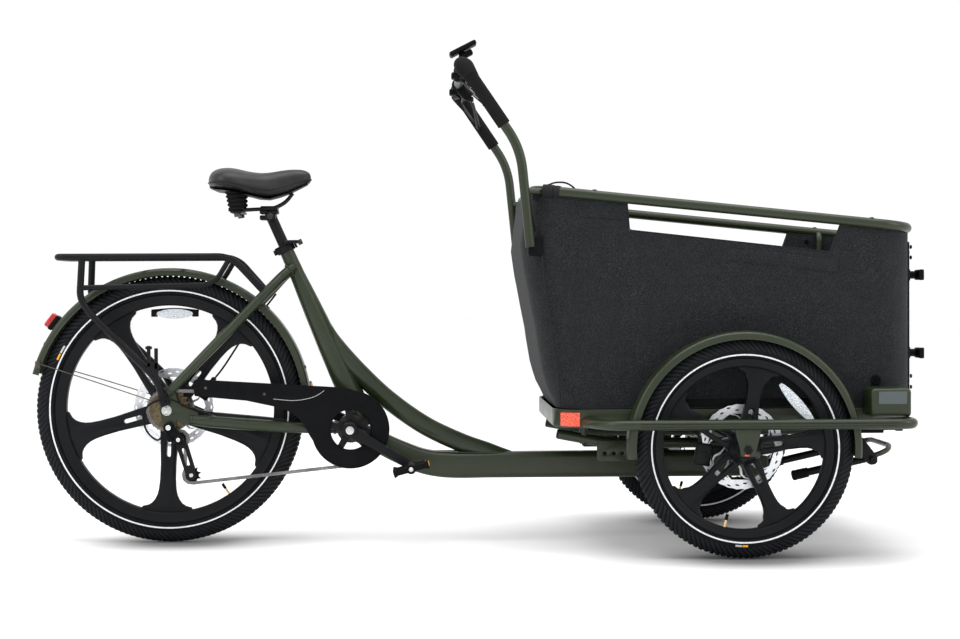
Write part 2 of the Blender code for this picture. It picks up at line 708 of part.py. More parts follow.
def derailleur_cable():
    """The loop of cable from the derailleur round to the chain stay."""
    route = smooth([at(-0.0045, -0.0880, 0.2785), at(-0.022, -0.0900, 0.262),
                    at(-0.048, -0.0940, 0.288), at(-0.052, -0.0990, 0.330),
                    at(-0.028, -0.1030, 0.356), at(0.014, -0.1030, 0.362),
                    at(0.060, -0.0930, 0.340), at(0.110, -0.0900, 0.3275),
                    at(0.200, -0.0780, 0.3170), at(0.290, -0.0660, 0.3080)], 3)
    place("derailleur_cable", tube(route, 0.0024, resolution=1), "black_rubber")


def rear_caliper():
    """Brake caliper over the rear rotor, between the left stays."""
    body = box(at(0.078, 0.0557, 0.378), (0.040, 0.026, 0.044),
               Matrix.Rotation(math.radians(35), 4, "Y"), bevel=0.004)
    slot = box(at(0.047, 0.0557, 0.360), (0.100, 0.0040, 0.100))
    place("rear_caliper", cut(body, slot), "black_metal")


# ---- seat ----
def seat_post():
    top = at(*SEAT_TUBE_TOP)
    up = seat_up()
    head = top + up * 0.0775
    post = rod(top - up * POST_INSERTION, head, POST_RADIUS, sides=20)
    side = Vector((0, 0.030, 0))
    yoke = rod(head - side, head + side, 0.0135)
    place("seat_post", union(post, yoke), "black_metal")


def saddle_frame():
    """Rails, cross plate and the two rear springs under the saddle."""
    pieces = []
    for side in (-1, 1):
        route = bent([at(0.166, side * 0.030, 0.8290), at(0.262, side * 0.022, 0.8345),
                      at(0.291, side * 0.016, 0.8500), at(0.300, side * 0.014, 0.8600)], 0.012)
        pieces.append(tube(route, 0.0035, resolution=1))
        pieces.append(rod(at(0.170, side * 0.046, 0.8250), at(0.162, side * 0.046, 0.8560), 0.0165))
    pieces.append(box(at(0.170, 0, 0.8290), (0.026, 0.110, 0.008), bevel=0.002))
    pieces.append(box(at(0.250, 0, 0.8340), (0.040, 0.052, 0.010), bevel=0.002))
    place("saddle_frame", union(*pieces), "black_metal")


def saddle():
    """Lofted from cross-sections along its length, then smoothed."""
    sections = [(0.103, 0.052, 0.914, 0.898), (0.116, 0.096, 0.931, 0.884),
                (0.147, 0.121, 0.9365, 0.868), (0.186, 0.110, 0.930, 0.860),
                (0.224, 0.080, 0.9230, 0.8535), (0.262, 0.050, 0.9260, 0.8560),
                (0.300, 0.034, 0.932, 0.868), (0.335, 0.027, 0.931, 0.886),
                (0.354, 0.014, 0.921, 0.902)]
    rings = []
    for x, half, top, bottom in sections:
        middle = (top + bottom) / 2
        ring = []
        for i in range(10):
            angle = 2 * math.pi * i / 10
            ring.append(at(x, half * math.cos(angle), middle + (top - middle) * math.sin(angle)))
        rings.append(ring)
    shape = evaluated(loft(rings), modifiers=[("SUBSURF", {"levels": 1, "render_levels": 1})])
    floor = box(at(0.23, 0, 0.8200), (0.4, 0.4, 0.0805))
    place("saddle", cut(shape, floor), "saddle_cover")


def seat_clamp():
    """Split collar round the seat tube's top, and its quick-release lever."""
    up = seat_up()
    across = Vector((up.z, 0, -up.x))
    middle = at(*SEAT_TUBE_TOP) - up * 0.010
    ring = rod(middle - up * 0.009, middle + up * 0.009, 0.0235, sides=24)
    ear = rod(middle + across * 0.018, middle + across * 0.034, 0.0065, sides=12)
    nut = rod(middle - across * 0.018, middle - across * 0.031, 0.0065, sides=12)
    place("seat_clamp", cut(union(ring, ear, nut), seat_tube_shape(GAP)), "black_metal")
    start = middle + across * 0.0400
    route = smooth([start, start + Vector((-0.004, -0.020, 0)), start + Vector((-0.016, -0.036, 0)),
                    start + Vector((-0.034, -0.042, 0))], 3)
    place("seat_clamp_lever", union(tube(route, [0.0050] * 4 + [0.0036] * (len(route) - 4)),
                                    rod(start - up * 0.006, start + up * 0.006, 0.0055, sides=12)),
          "black_metal", start)


# ---- front carriage ----
def rounded_outline(x0, x1, half_width, corner, steps=3):
    """A level rounded rectangle as (x, y), anticlockwise from the front left corner."""
    points = []
    for cx, cy, first in ((x1 - corner, half_width - corner, 0), (x0 + corner, half_width - corner, 90),
                          (x0 + corner, corner - half_width, 180), (x1 - corner, corner - half_width, 270)):
        points += arc((cx, cy), corner, first, first + 90, steps)
    return points


def bulged(points, front, bulge, half_width):
    """Pushes points near the front face out in a gentle curve."""
    out = []
    for x, y in points:
        share = max(0.0, 1 - (y / half_width) ** 2) if x > front - 0.09 else 0.0
        out.append((x + bulge * share, y))
    return out


def rail_height(x):
    """Height of the box's top rail at x."""
    slope = (RAIL_FRONT[1] - RAIL_REAR[1]) / (RAIL_FRONT[0] - RAIL_REAR[0])
    return RAIL_REAR[1] + slope * (x - RAIL_REAR[0])


def base_tray():
    """Pan that the box stands on: a flat floor with an upright rim."""
    outline = bulged(rounded_outline(0.940, 1.792, BOX_HALF_WIDTH + 0.006, 0.075), 1.792, 0.018,
                     BOX_HALF_WIDTH)
    low = [at(x, y, TRAY_Z[0]) for x, y in outline]
    high = [at(x, y, TRAY_Z[1]) for x, y in outline]
    skin = loft([low, high], closed_ends=(True, False))
    shape = evaluated(skin, modifiers=[("SOLIDIFY", {"thickness": 0.004, "offset": -1.0,
                                                     "use_even_offset": True})])
    place("base_tray", cut(shape, bumper_shape(GAP), flipped(bumper_shape(GAP))), "olive_paint")


def box_wall_shape():
    """Outer skin of the box as rings that lean back at the rear and follow the rail on top."""
    levels = [(TRAY_Z[1] + GAP, 0.952), (0.390, 0.930), (0.440, 0.915), (0.530, 0.901),
              (0.602, 0.887), (0.665, 0.875), (0.730, 0.866)]
    rings = []
    for z, rear in levels:
        outline = bulged(rounded_outline(rear, 1.790, BOX_HALF_WIDTH, 0.078), 1.790, 0.018,
                         BOX_HALF_WIDTH)
        rings.append([at(x, y, z) for x, y in outline])
    top = bulged(rounded_outline(0.884, 1.790, BOX_HALF_WIDTH, 0.078), 1.790, 0.018, BOX_HALF_WIDTH)
    rings.append([at(x, y, rail_height(x) - RAIL_RADIUS - 0.0015) for x, y in top])
    skin = loft(rings, closed_ends=(True, False))
    return evaluated(skin, modifiers=[("SOLIDIFY", {"thickness": BOX_WALL, "offset": -1.0,
                                                    "use_even_offset": True})])


def levelled(mesh, height, reach, inset):
    """Sets every vertex near a height to exactly that height, drawn in from the walls by a share."""
    centre = at((0.952 + 1.790) / 2, 0, height)
    for vertex in mesh.vertices:
        if abs(vertex.co.z - height) < reach:
            vertex.co.x += (centre.x - vertex.co.x) * inset
            vertex.co.y += (centre.y - vertex.co.y) * inset
            vertex.co.z = height
    return mesh


def window_cutter():
    """The sloping opening below the rail, through both sides."""
    outline = [(1.112, 0.870), (1.119, 0.7665), (1.594, 0.7135), (1.618, 0.780), (1.618, 0.870)]
    return plate([outline], 0.0, 1.0)


def door_block(margin):
    """The volume of the front wall that the door takes."""
    return box(at(1.800, 0, 0.5600), (0.060, 0.520 + 2 * margin, 0.360 + 2 * margin))


def cargo_box():
    floor = TRAY_Z[1] + GAP + BOX_WALL
    shell = levelled(cut(box_wall_shape(), window_cutter()), floor, 0.004, FLOOR_INSET)
    for x in POST_X:
        for side in (-1, 1):
            low, high = at(x, side * POST_Y, floor - 0.02), at(x, side * POST_Y, floor + 0.01)
            shell = cut(shell, rod(low, high, RAIL_POST_RADIUS + GAP * 2, sides=16))
    place("box_shell", cut(shell, door_block(0.0015)), "felt")
    keep = door_block(0.0)
    body = combined(keep, [box_wall_shape()], "INTERSECT")
    place("front_door", body, "felt", at(*DOOR_HINGE))


def door_latches():
    """Turn latches on the door's free side."""
    for name, z in LATCHES.items():
        centre = at(1.7995, -0.2350, z)
        post = rod(centre, centre + Vector((0.018, 0, 0)), 0.0090, sides=14)
        wing = box(centre + Vector((0.024, -0.014, 0)), (0.014, 0.048, 0.026), bevel=0.004)
        place(name, union(post, wing), "black_plastic", centre)


def box_rail():
    """Closed tube round the box's top, with four posts down to the floor."""
    outline = rounded_outline(RAIL_REAR[0], RAIL_FRONT[0], RAIL_HALF_WIDTH, 0.075, 4)
    ring = tube([at(x, y, rail_height(x)) for x, y in outline], RAIL_RADIUS, cyclic=True)
    posts = []
    for x in POST_X:
        for side in (-1, 1):
            foot = at(x, side * POST_Y, TRAY_Z[1] + GAP * 2)
            knee = at(x, side * POST_Y, rail_height(x) - 0.003)
            head = at(x, side * RAIL_HALF_WIDTH, rail_height(x) - 0.003)
            posts.append(tube([foot, knee, head], RAIL_POST_RADIUS, resolution=1))
    place("box_rail", union(ring, *posts), "olive_paint")


def bumper_shape(extra=0.0):
    route = bent([at(1.012, -0.318, BUMPER_Z), at(1.037, -0.392, BUMPER_Z),
                  at(1.078, -BUMPER_Y, BUMPER_Z), at(1.765, -BUMPER_Y, BUMPER_Z),
                  at(1.765, -0.300, BUMPER_Z)], 0.040)
    return tube(route, BUMPER_RADIUS + extra, resolution=3)


def bumper():
    """Side guard tube with the plate that carries the wheel axle's outer end."""
    outline = [(1.347, 0.310), (1.407, 0.310), (1.394, 0.242), (1.360, 0.242)]
    hanger = plate([outline], -BUMPER_Y, 0.004)
    joined = union(bumper_shape(), hanger)
    tray = box(at(1.366, 0, 0.3225), (0.854, 0.6526 + 2 * GAP, 0.06))
    return cut(joined, tray, axle_bore(at(WHEELBASE, -TRACK_HALF, FRONT_WHEEL["outer"])))


def bumpers():
    place("bumper_right", bumper(), "olive_paint")
    place("bumper_left", flipped(bumper()), "olive_paint")


def front_fender():
    centre = at(WHEELBASE, -TRACK_HALF, FRONT_WHEEL["outer"])
    arch = fender(FRONT_WHEEL, 0.0155, centre, 0.034, -5, 185, 17, skirt=0.019)
    bracket = box(at(WHEELBASE, -0.3340, 0.5150), (0.050, 0.0270, 0.012))
    wall = box(at(WHEELBASE, 0, 0.5), (1.0, (BOX_HALF_WIDTH + GAP) * 2, 1.0))
    return cut(union(arch, bracket), wall)


def front_fenders():
    place("front_fender_right", front_fender(), "olive_paint")
    place("front_fender_left", flipped(front_fender()), "olive_paint")


def light_housing(name, side):
    """A rounded lamp and cable box on the box's front corner, above the bumper."""
    inner = BOX_HALF_WIDTH + 0.006 + GAP
    body = box(at(1.7145, side * (inner + 0.0450), 0.3620), (0.095, 0.0900, 0.0680), bevel=0.006)
    place(name, body, "olive_paint")


def sub_chassis():
    """Cross beam, steering head, stub axles and the two long members under the tray."""
    wheel_z = FRONT_WHEEL["outer"]
    beam = box(at(WHEELBASE, 0, wheel_z), (0.040, 0.650, 0.034), bevel=0.004)
    head = rod(at(WHEELBASE, 0, 0.2225), at(WHEELBASE, 0, 0.2915), 0.0300)
    pieces = [beam, head]
    for side in (-1, 1):
        member = bent([at(0.957, side * 0.200, 0.2795), at(1.080, side * 0.200, 0.2560),
                       at(1.760, side * 0.200, 0.2560)], 0.030)
        pieces.append(tube(member, 0.0125))
        for x in (1.020, 1.650):
            top = TRAY_Z[0] - GAP
            pieces.append(rod(at(x, side * 0.200, 0.255), at(x, side * 0.200, top), 0.0100, sides=8))
        lug = plate([[(1.697, 0.262), (1.747, 0.262), (1.736, 0.198), (1.708, 0.198)]],
                    side * 0.200, 0.006)
        pieces.append(lug)
        axle = [(0.0, 0.310), (0.011, 0.310), (0.011, 0.3420), (AXLE_RADIUS, 0.3420),
                (AXLE_RADIUS, 0.4423), (0.0105, 0.4423), (0.0, 0.4520)]
        profile = [(r, side * y) for r, y in axle]
        pieces.append(turned(profile, at(WHEELBASE, 0, wheel_z), 12, closed=False))
    kingpin_bore = rod(at(WHEELBASE, 0, 0.15), at(WHEELBASE, 0, 0.35), KINGPIN_RADIUS + GAP)
    stand_bore = rod(at(STAND_PIVOT[0], -0.3, STAND_PIVOT[1]), at(STAND_PIVOT[0], 0.3, STAND_PIVOT[1]),
                     0.0080 + GAP)
    place("sub_chassis", cut(union(*pieces), kingpin_bore, stand_bore), "olive_paint")


def front_caliper(side):
    """Caliper behind the rotor's upper rear edge."""
    y = side * (TRACK_HALF - 0.0357)
    body = box(at(1.288, y, 0.240), (0.036, 0.024, 0.052),
               Matrix.Rotation(math.radians(10), 4, "Y"), bevel=0.004)
    slot = box(at(1.3245, y, 0.240), (0.100, 0.0040, 0.100))
    arm = box(at(1.318, side * 0.3310, 0.2500), (0.090, 0.0080, 0.016))
    name = "front_caliper_right" if side < 0 else "front_caliper_left"
    return name, cut(union(body, arm), slot, rod(at(WHEELBASE, -0.5, 0.257), at(WHEELBASE, 0.5, 0.257), 0.0220))


def front_calipers():
    for side in (-1, 1):
        name, mesh = front_caliper(side)
        place(name, mesh, "black_metal")


def stand():
    """Folding front stand: a cross bar in the lugs, two legs and a foot loop."""
    x, z = STAND_PIVOT
    bar = rod(at(x, -0.215, z), at(x, 0.215, z), 0.0080)
    pieces = [bar]
    for side in (-1, 1):
        foot = at(1.535, side * 0.160, 0.1700)
        knee = at(x, side * 0.160, z)
        pieces.append(tube([knee, foot], 0.0095))
        pieces.append(rod(foot, foot.lerp(knee, 0.2), 0.0125, sides=12))
    loop = bent([at(x, -0.110, z), at(1.748, -0.100, 0.2100), at(1.790, -0.070, 0.2500),
                 at(1.790, 0.070, 0.2500), at(1.748, 0.100, 0.2100), at(x, 0.110, z)], 0.030)
    pieces.append(tube(loop, 0.0060, resolution=1))
    place("front_stand", union(*pieces), "black_metal", at(x, 0, z))


# ---- handlebar ----
def bar_route():
    """Right half of the handlebar from its lower end to the middle of the top."""
    y = -BAR_HALF_WIDTH
    return bent([at(0.886, y, 0.727), at(0.863, y, 0.958), at(0.727, y + 0.010, 1.160),
                 at(0.727, 0, 1.160)], 0.050, 4)


def bar_shape(extra=0.0):
    half = bar_route()[:-1]
    return tube(half + list(reversed(mirrored(half))), BAR_RADIUS + extra, resolution=2)


def handlebar():
    """Hoop bar with the two stubs that join it to the rail, and the lever clamps."""
    pieces = [bar_shape()]
    rail_outline = rounded_outline(RAIL_REAR[0], RAIL_FRONT[0], RAIL_HALF_WIDTH, 0.075, 4)
    rail = tube([at(x, y, rail_height(x)) for x, y in rail_outline], RAIL_RADIUS + GAP,
                cyclic=True)
    for side in (-1, 1):
        pieces.append(rod(at(0.873, side * 0.3220, 0.8580), at(0.928, side * 0.2980, 0.8580), 0.0075,
                          sides=12))
        clamp = at(0.727, side * 0.1500, 1.1600)
        pieces.append(rod(clamp - Vector((0, 0.009, 0)), clamp + Vector((0, 0.009, 0)), 0.0170))
        pieces.append(box(clamp + Vector((0.018, 0, -0.020)), (0.024, 0.018, 0.030),
                          Matrix.Rotation(math.radians(-45), 4, "Y"), bevel=0.003))
    place("handlebar", cut(union(*pieces), rail), "olive_paint")


def grips():
    """Foam sleeves from the uprights over the elbows on to the top bar."""
    half = bar_route()
    start = next(i for i, p in enumerate(half) if p.z > 1.02)
    low = half[start - 1].lerp(half[start], 0.30)
    inner = Vector((half[-1].x, -0.165, half[-1].z))
    route = [low, *half[start:-1], inner]
    for name, points in (("grip_right", route), ("grip_left", mirrored(route))):
        place(name, cut(tube(points, GRIP_RADIUS), bar_shape(GAP)), "black_rubber")


def brake_levers():
    """Blades that hang forward and below the top bar, out to the elbows."""
    for name, side in (("brake_lever_right", -1), ("brake_lever_left", 1)):
        x, y, z = LEVER_PIVOT
        pivot = at(x, side * y, z)
        route = smooth([pivot + Vector((0.004, side * 0.012, -0.004)), at(0.768, side * 0.195, 1.108),
                        at(0.775, side * 0.240, 1.088), at(0.782, side * 0.288, 1.066)], 3)
        blade = tube(route, 0.0048)
        knuckle = box(pivot + Vector((0.004, side * 0.012, -0.004)), (0.012, 0.010, 0.012), bevel=0.002)
        place(name, union(blade, knuckle), "steel", pivot)


def display():
    """Flat screen on a short stem above the top bar."""
    middle = at(0.734, -0.1000, 1.2200)
    turn = Matrix.Rotation(math.radians(-27), 4, "Y")
    slab = box(middle, (0.072, 0.052, 0.012), turn, bevel=0.003)
    stem = rod(at(0.727, -0.1000, 1.1600), at(0.732, -0.1000, 1.2180), 0.0070, sides=12)
    band = rod(at(0.727, -0.1080, 1.1600), at(0.727, -0.0920, 1.1600), 0.0155)
    place("display", cut(union(slab, stem, band), bar_shape(GAP)), "black_plastic")


clear_scene()
PARTS = new_collection("cargo_bicycle")
CUTTERS = new_collection("cutters")

seat_tube()
main_beam()
curved_tube()
rear_stays()
rear_axle()
rear_wheel()
rear_fender()
rack_deck()
rack_sides()
rear_light()
chain()
cassette()
crankset()
chainring()
chain_guard()
derailleur_body()
derailleur_cage()
derailleur_cable()
rear_caliper()
seat_post()
saddle_frame()
saddle()
seat_clamp()
base_tray()
cargo_box()
door_latches()
box_rail()
bumpers()
front_fenders()
light_housing("light_housing_right", -1)
light_housing("light_housing_left", 1)
sub_chassis()
front_calipers()
front_wheel(-1, "front_right")
front_wheel(1, "front_left")
stand()
handlebar()
grips()
brake_levers()
display()
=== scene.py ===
"""Looks of the front-box cargo tricycle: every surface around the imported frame."""
import math

import bmesh
import bpy
from mathutils import Matrix, Vector


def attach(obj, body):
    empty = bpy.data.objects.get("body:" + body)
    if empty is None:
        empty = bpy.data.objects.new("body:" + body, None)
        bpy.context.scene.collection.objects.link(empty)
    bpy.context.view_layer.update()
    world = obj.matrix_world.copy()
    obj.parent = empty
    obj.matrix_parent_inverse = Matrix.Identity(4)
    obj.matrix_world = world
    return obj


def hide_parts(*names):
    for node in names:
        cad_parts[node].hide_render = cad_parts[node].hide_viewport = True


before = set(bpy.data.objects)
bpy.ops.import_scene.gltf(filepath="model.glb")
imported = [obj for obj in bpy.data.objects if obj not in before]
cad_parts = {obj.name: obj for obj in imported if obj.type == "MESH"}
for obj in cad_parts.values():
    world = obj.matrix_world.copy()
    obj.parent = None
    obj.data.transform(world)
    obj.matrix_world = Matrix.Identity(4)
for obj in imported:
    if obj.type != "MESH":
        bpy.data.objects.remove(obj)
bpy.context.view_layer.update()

# ---- places, in metres from below the rear axle ----
REAR_AXLE_X = -0.748
WHEELBASE = 1.377
TRACK_HALF = 0.380
REAR_WHEEL = {"outer": 0.3335, "bead": 0.2790, "opening": 0.2585, "stripe": 0.2960,
              "first": 51.5, "slot": (0.078, 0.116, 0.0052), "arm": 0.0190, "blocks": 150, "valve": 304}
FRONT_WHEEL = {"outer": 0.2570, "bead": 0.2030, "opening": 0.1885, "stripe": 0.2175,
               "first": 7.0, "slot": (0.046, 0.086, 0.0062), "arm": 0.0162, "blocks": 116, "valve": 256}
TYRE_HALF = 0.0268
BRACKET = (0.452, 0.283)
CRANK_ANGLE = -30.5
CRANK_LENGTH = 0.175
CHAIN_Y = -0.056
LINK = 0.0127
UPPER_JOCKEY = (0.030, 0.262)
LOWER_JOCKEY = (0.058, 0.172)
BEAM_Z = 0.1885
RACK_Z = 0.713
BOX_HALF = 0.320
FELT_THICKNESS = 0.0095
RAIL_REAR = (0.897, 0.8622)
RAIL_FRONT = (1.792, 0.7705)
RAIL_HALF = 0.319
RAIL_RADIUS = 0.012
BUMPER_Y = 0.440
BUMPER_Z = 0.315
Y_AXIS = Vector((0, 1, 0))
Z_AXIS = Vector((0, 0, 1))


def at(x, y, z):
    """A point measured from below the rear axle."""
    return Vector((x + REAR_AXLE_X, y, z))


# ---- camera and light ----
# Painted shadow on the floor under each wheel, a wide patch and a narrow one: centre, reach along each axis
# and depth.
PAINTED_WHEEL_SHADOWS = [((0.060, -0.020, 0), (0.46, 0.30, 1.0), 0.32), ((0.02, 0.0, 0), (0.24, 0.20, 1.0), 0.34),
                ((1.45, -0.40, 0), (0.55, 0.32, 1.0), 0.32), ((1.385, -0.38, 0), (0.24, 0.20, 1.0), 0.34),
                ((1.42, 0.42, 0), (0.50, 0.30, 1.0), 0.32), ((1.37, 0.40, 0), (0.22, 0.20, 1.0), 0.30)]


CAMERA_PLACE = (-0.110, -4.638, 0.615)
CAMERA_TURN = (1.71, -0.76, -0.25)
CAMERA_LENS_MM = 69.1


def add_camera():
    yaw, pitch, roll = (math.radians(degrees) for degrees in CAMERA_TURN)
    ahead = Vector((math.sin(yaw) * math.cos(pitch), math.cos(yaw) * math.cos(pitch), math.sin(pitch)))
    right = Vector((math.cos(yaw), -math.sin(yaw), 0))
    up = right.cross(ahead)
    across = math.cos(roll) * right + math.sin(roll) * up
    upright = math.cos(roll) * up - math.sin(roll) * right
    data = bpy.data.cameras.new("camera")
    data.sensor_width = 36.0
    data.lens = CAMERA_LENS_MM
    camera = bpy.data.objects.new("camera", data)
    turn = Matrix((across, upright, -ahead)).transposed().to_4x4()
    camera.matrix_world = Matrix.Translation(CAMERA_PLACE) @ turn
    bpy.context.scene.collection.objects.link(camera)
    bpy.context.scene.camera = camera


def add_light(name, place, target, size, power):
    data = bpy.data.lights.new(name, "AREA")
    data.shape = "RECTANGLE"
    data.size, data.size_y = size
    data.energy = power
    light = bpy.data.objects.new(name, data)
    light.location = place
    light.rotation_euler = (Vector(target) - Vector(place)).to_track_quat("-Z", "Y").to_euler()
    bpy.context.scene.collection.objects.link(light)


def add_studio():
    """White room light, an overhead softbox, and a weaker one on each side."""
    world = bpy.data.worlds.new("studio")
    world.use_nodes = True
    background = world.node_tree.nodes["Background"]
    background.inputs["Color"].default_value = (1.0, 1.0, 1.0, 1.0)
    background.inputs["Strength"].default_value = 1.04
    bpy.context.scene.world = world
    bpy.context.scene.view_settings.view_transform = "Standard"
    add_light("overhead", (0.2, -0.6, 4.2), (0, 0, 0.3), (4.5, 3.0), 130)
    add_light("rear_left", (-3.6, -1.8, 2.6), (-0.5, 0, 0.5), (1.6, 2.4), 45)
    add_light("front_right", (3.8, -2.2, 2.4), (0.7, 0, 0.5), (1.6, 2.4), 40)


def contact_mask(look, centre, reach):
    """One at the centre of a patch of floor, fading to nothing at its reach."""
    offset = look.node("ShaderNodeVectorMath", {0: look.places, 1: centre}, operation="SUBTRACT")
    scaled = look.node("ShaderNodeVectorMath", {0: offset.outputs[0], 1: reach}, operation="DIVIDE")
    distance = look.node("ShaderNodeVectorMath", {0: scaled.outputs[0]}, operation="LENGTH")
    fade = look.node("ShaderNodeMapRange", {"Value": distance.outputs["Value"], "From Min": 0.0,
                                            "From Max": 1.0, "To Min": 1.0, "To Max": 0.0},
                     interpolation_type="SMOOTHSTEP")
    return fade.outputs[0]


def add_floor():
    """White floor with a soft painted shadow where each wheel stands."""
    mesh = bpy.data.meshes.new("floor")
    reach = 60.0
    mesh.from_pydata([(-reach, -reach, 0), (reach, -reach, 0), (reach, reach, 0), (-reach, reach, 0)],
                     [], [(0, 1, 2, 3)])
    floor = bpy.data.objects.new("floor", mesh)
    floor.location.z = -0.0004
    look = Look("floor", roughness=0.7)
    shade = look.sum(look.noise(1.5), 0.04, "MULTIPLY")
    # Each patch adds painted shadow to the floor colour.
    for centre, size, depth in PAINTED_WHEEL_SHADOWS:
        mask = contact_mask(look, at(*centre), size)
        shade = look.sum(shade, look.sum(mask, depth, "MULTIPLY"), "ADD")
    look.colour(shade, [(0.0, (0.99, 0.99, 0.99)), (0.20, (0.66, 0.66, 0.66)), (0.50, (0.26, 0.26, 0.26)),
                        (1.0, (0.06, 0.06, 0.06))])
    mesh.materials.append(look.material)
    bpy.context.scene.collection.objects.link(floor)


# ---- materials ----
class Look:
    """A procedural material: patterns in the object's own space feed one Principled shader."""

    def __init__(self, name, roughness=0.5, metallic=0.0, specular=0.5, **sockets):
        self.material = bpy.data.materials.new(name)
        self.material.use_nodes = True
        self.tree = self.material.node_tree
        self.shader = self.tree.nodes["Principled BSDF"]
        self.set("Roughness", roughness)
        self.set("Metallic", metallic)
        self.set("Specular IOR Level", specular)
        for socket, value in sockets.items():
            self.set(socket.replace("_", " ").title(), value)
        self.height = None
        self.places = self.node("ShaderNodeTexCoord").outputs["Object"]

    def set(self, socket, value):
        self.shader.inputs[socket].default_value = value

    def node(self, kind, inputs=(), **settings):
        made = self.tree.nodes.new(kind)
        for key, value in settings.items():
            setattr(made, key, value)
        for socket, value in dict(inputs).items():
            if isinstance(value, bpy.types.NodeSocket):
                self.tree.links.new(value, made.inputs[socket])
            else:
                made.inputs[socket].default_value = value
        return made

    def stretched(self, scale, turn=(0, 0, 0)):
        """The object's space, stretched and turned."""
        made = self.node("ShaderNodeMapping", {"Vector": self.places, "Scale": scale,
                                               "Rotation": [math.radians(a) for a in turn]})
        return made.outputs["Vector"]

    def noise(self, scale, detail=3.0, places=None):
        made = self.node("ShaderNodeTexNoise", {"Vector": places or self.places, "Scale": scale,
                                                "Detail": detail})
        return made.outputs["Fac"]

    def cells(self, scale, feature="F1", places=None):
        made = self.node("ShaderNodeTexVoronoi", {"Vector": places or self.places, "Scale": scale},
                         feature=feature)
        return made.outputs["Distance"]

    def sum(self, first, second, operation="ADD"):
        made = self.node("ShaderNodeMath", {0: first, 1: second}, operation=operation)
        return made.outputs[0]

    def colour(self, factor, stops):
        """Base colour from a factor; stops are (place, (r, g, b))."""
        made = self.node("ShaderNodeValToRGB", {"Fac": factor})
        elements = made.color_ramp.elements
        while len(elements) < len(stops):
            elements.new(0.5)
        for element, (place, tint) in zip(elements, stops):
            element.position = place
            element.color = (*tint, 1.0)
        self.tree.links.new(made.outputs["Color"], self.shader.inputs["Base Color"])

    def rough(self, factor, low, high):
        made = self.node("ShaderNodeMapRange", {"Value": factor, "From Min": 0.3, "From Max": 0.7,
                                                "To Min": low, "To Max": high})
        self.tree.links.new(made.outputs[0], self.shader.inputs["Roughness"])

    def bump(self, factor, strength, distance):
        inputs = {"Height": factor, "Strength": strength, "Distance": distance}
        if self.height is not None:
            inputs["Normal"] = self.height
        self.height = self.node("ShaderNodeBump", inputs).outputs["Normal"]
        for link in list(self.shader.inputs["Normal"].links):
            self.tree.links.remove(link)
        self.tree.links.new(self.height, self.shader.inputs["Normal"])


def painted(name, dark, light, roughness, grain=1800.0, specular=0.5, metallic=0.0, coat=0.0):
    """Powder coat: faint cloudiness, fine orange peel and dustier patches."""
    look = Look(name, metallic=metallic, specular=specular, coat_weight=coat, coat_roughness=0.25)
    cloud = look.noise(5.0, 5.0)
    look.colour(cloud, [(0.30, dark), (0.70, light)])
    look.rough(look.noise(38.0, 4.0), roughness - 0.05, roughness + 0.07)
    look.bump(look.noise(grain, 2.0), 0.10, 0.0004)
    return look.material


def tyre_look():
    look = Look("tyre_rubber", specular=0.07)
    look.colour(look.noise(26.0, 6.0), [(0.3, (0.0045, 0.0050, 0.0060)), (0.75, (0.0090, 0.0098, 0.0115))])
    look.rough(look.noise(60.0, 4.0), 0.62, 0.82)
    look.bump(look.noise(900.0, 3.0), 0.25, 0.0005)
    return look.material


def felt_look(name, deep, middle, pale, fibre=1.0):
    """Heathered felt: crossed stretched noises make fibres of three greys, with a soft nap."""
    look = Look(name, roughness=0.95, specular=0.06, sheen_weight=0.06, sheen_roughness=0.6)
    first = look.noise(1.0, 4.0, look.stretched((420, 420, 1300), (0, 35, 0)))
    second = look.noise(1.0, 4.0, look.stretched((1300, 420, 420), (0, 28, 10)))
    fibres = look.sum(first, second, "MULTIPLY")
    cloud = look.noise(22.0, 5.0)
    mixed = look.sum(fibres, look.sum(cloud, 0.05, "MULTIPLY"), "ADD")
    look.colour(mixed, [(0.17, deep), (0.29, middle), (0.46, pale)])
    look.bump(fibres, 0.45 * fibre, 0.0012)
    look.bump(look.noise(60.0, 4.0), 0.15, 0.002)
    return look.material


def rubber_look(name, tint, roughness, grain, strength):
    look = Look(name, specular=0.07)
    paler = tuple(min(1.0, c * 1.6) for c in tint)
    look.colour(look.noise(45.0, 5.0), [(0.3, tint), (0.75, paler)])
    look.rough(look.noise(90.0), roughness - 0.06, roughness + 0.06)
    look.bump(look.cells(grain), strength, 0.0006)
    return look.material


def leather_look():
    """Pebbled synthetic leather with a satin shine."""
    look = Look("saddle_cover", specular=0.38)
    look.colour(look.noise(30.0, 5.0), [(0.3, (0.0040, 0.0041, 0.0046)), (0.7, (0.0085, 0.0086, 0.0095))])
    look.rough(look.noise(55.0, 4.0), 0.34, 0.48)
    look.bump(look.cells(900.0), 0.22, 0.0005)
    look.bump(look.noise(120.0, 4.0), 0.10, 0.001)
    return look.material


def metal_look(name, dark, light, roughness, lines=(300, 300, 300), grain=1.0):
    look = Look(name, metallic=1.0)
    brushed = look.noise(grain, 3.0, look.stretched(lines))
    look.colour(look.sum(brushed, look.noise(20.0, 4.0), "MULTIPLY"), [(0.12, dark), (0.42, light)])
    look.rough(brushed, roughness - 0.06, roughness + 0.10)
    look.bump(brushed, 0.08, 0.0003)
    return look.material


def prism_look(name, dark, light, **sockets):
    """Moulded reflector: a grid of tiny prisms."""
    look = Look(name, roughness=0.15, **sockets)
    prisms = look.cells(330.0, "F1", look.stretched((1, 1, 1), (0, 45, 0)))
    look.colour(prisms, [(0.25, light), (0.60, dark)])
    look.bump(prisms, 0.25, 0.001)
    return look.material


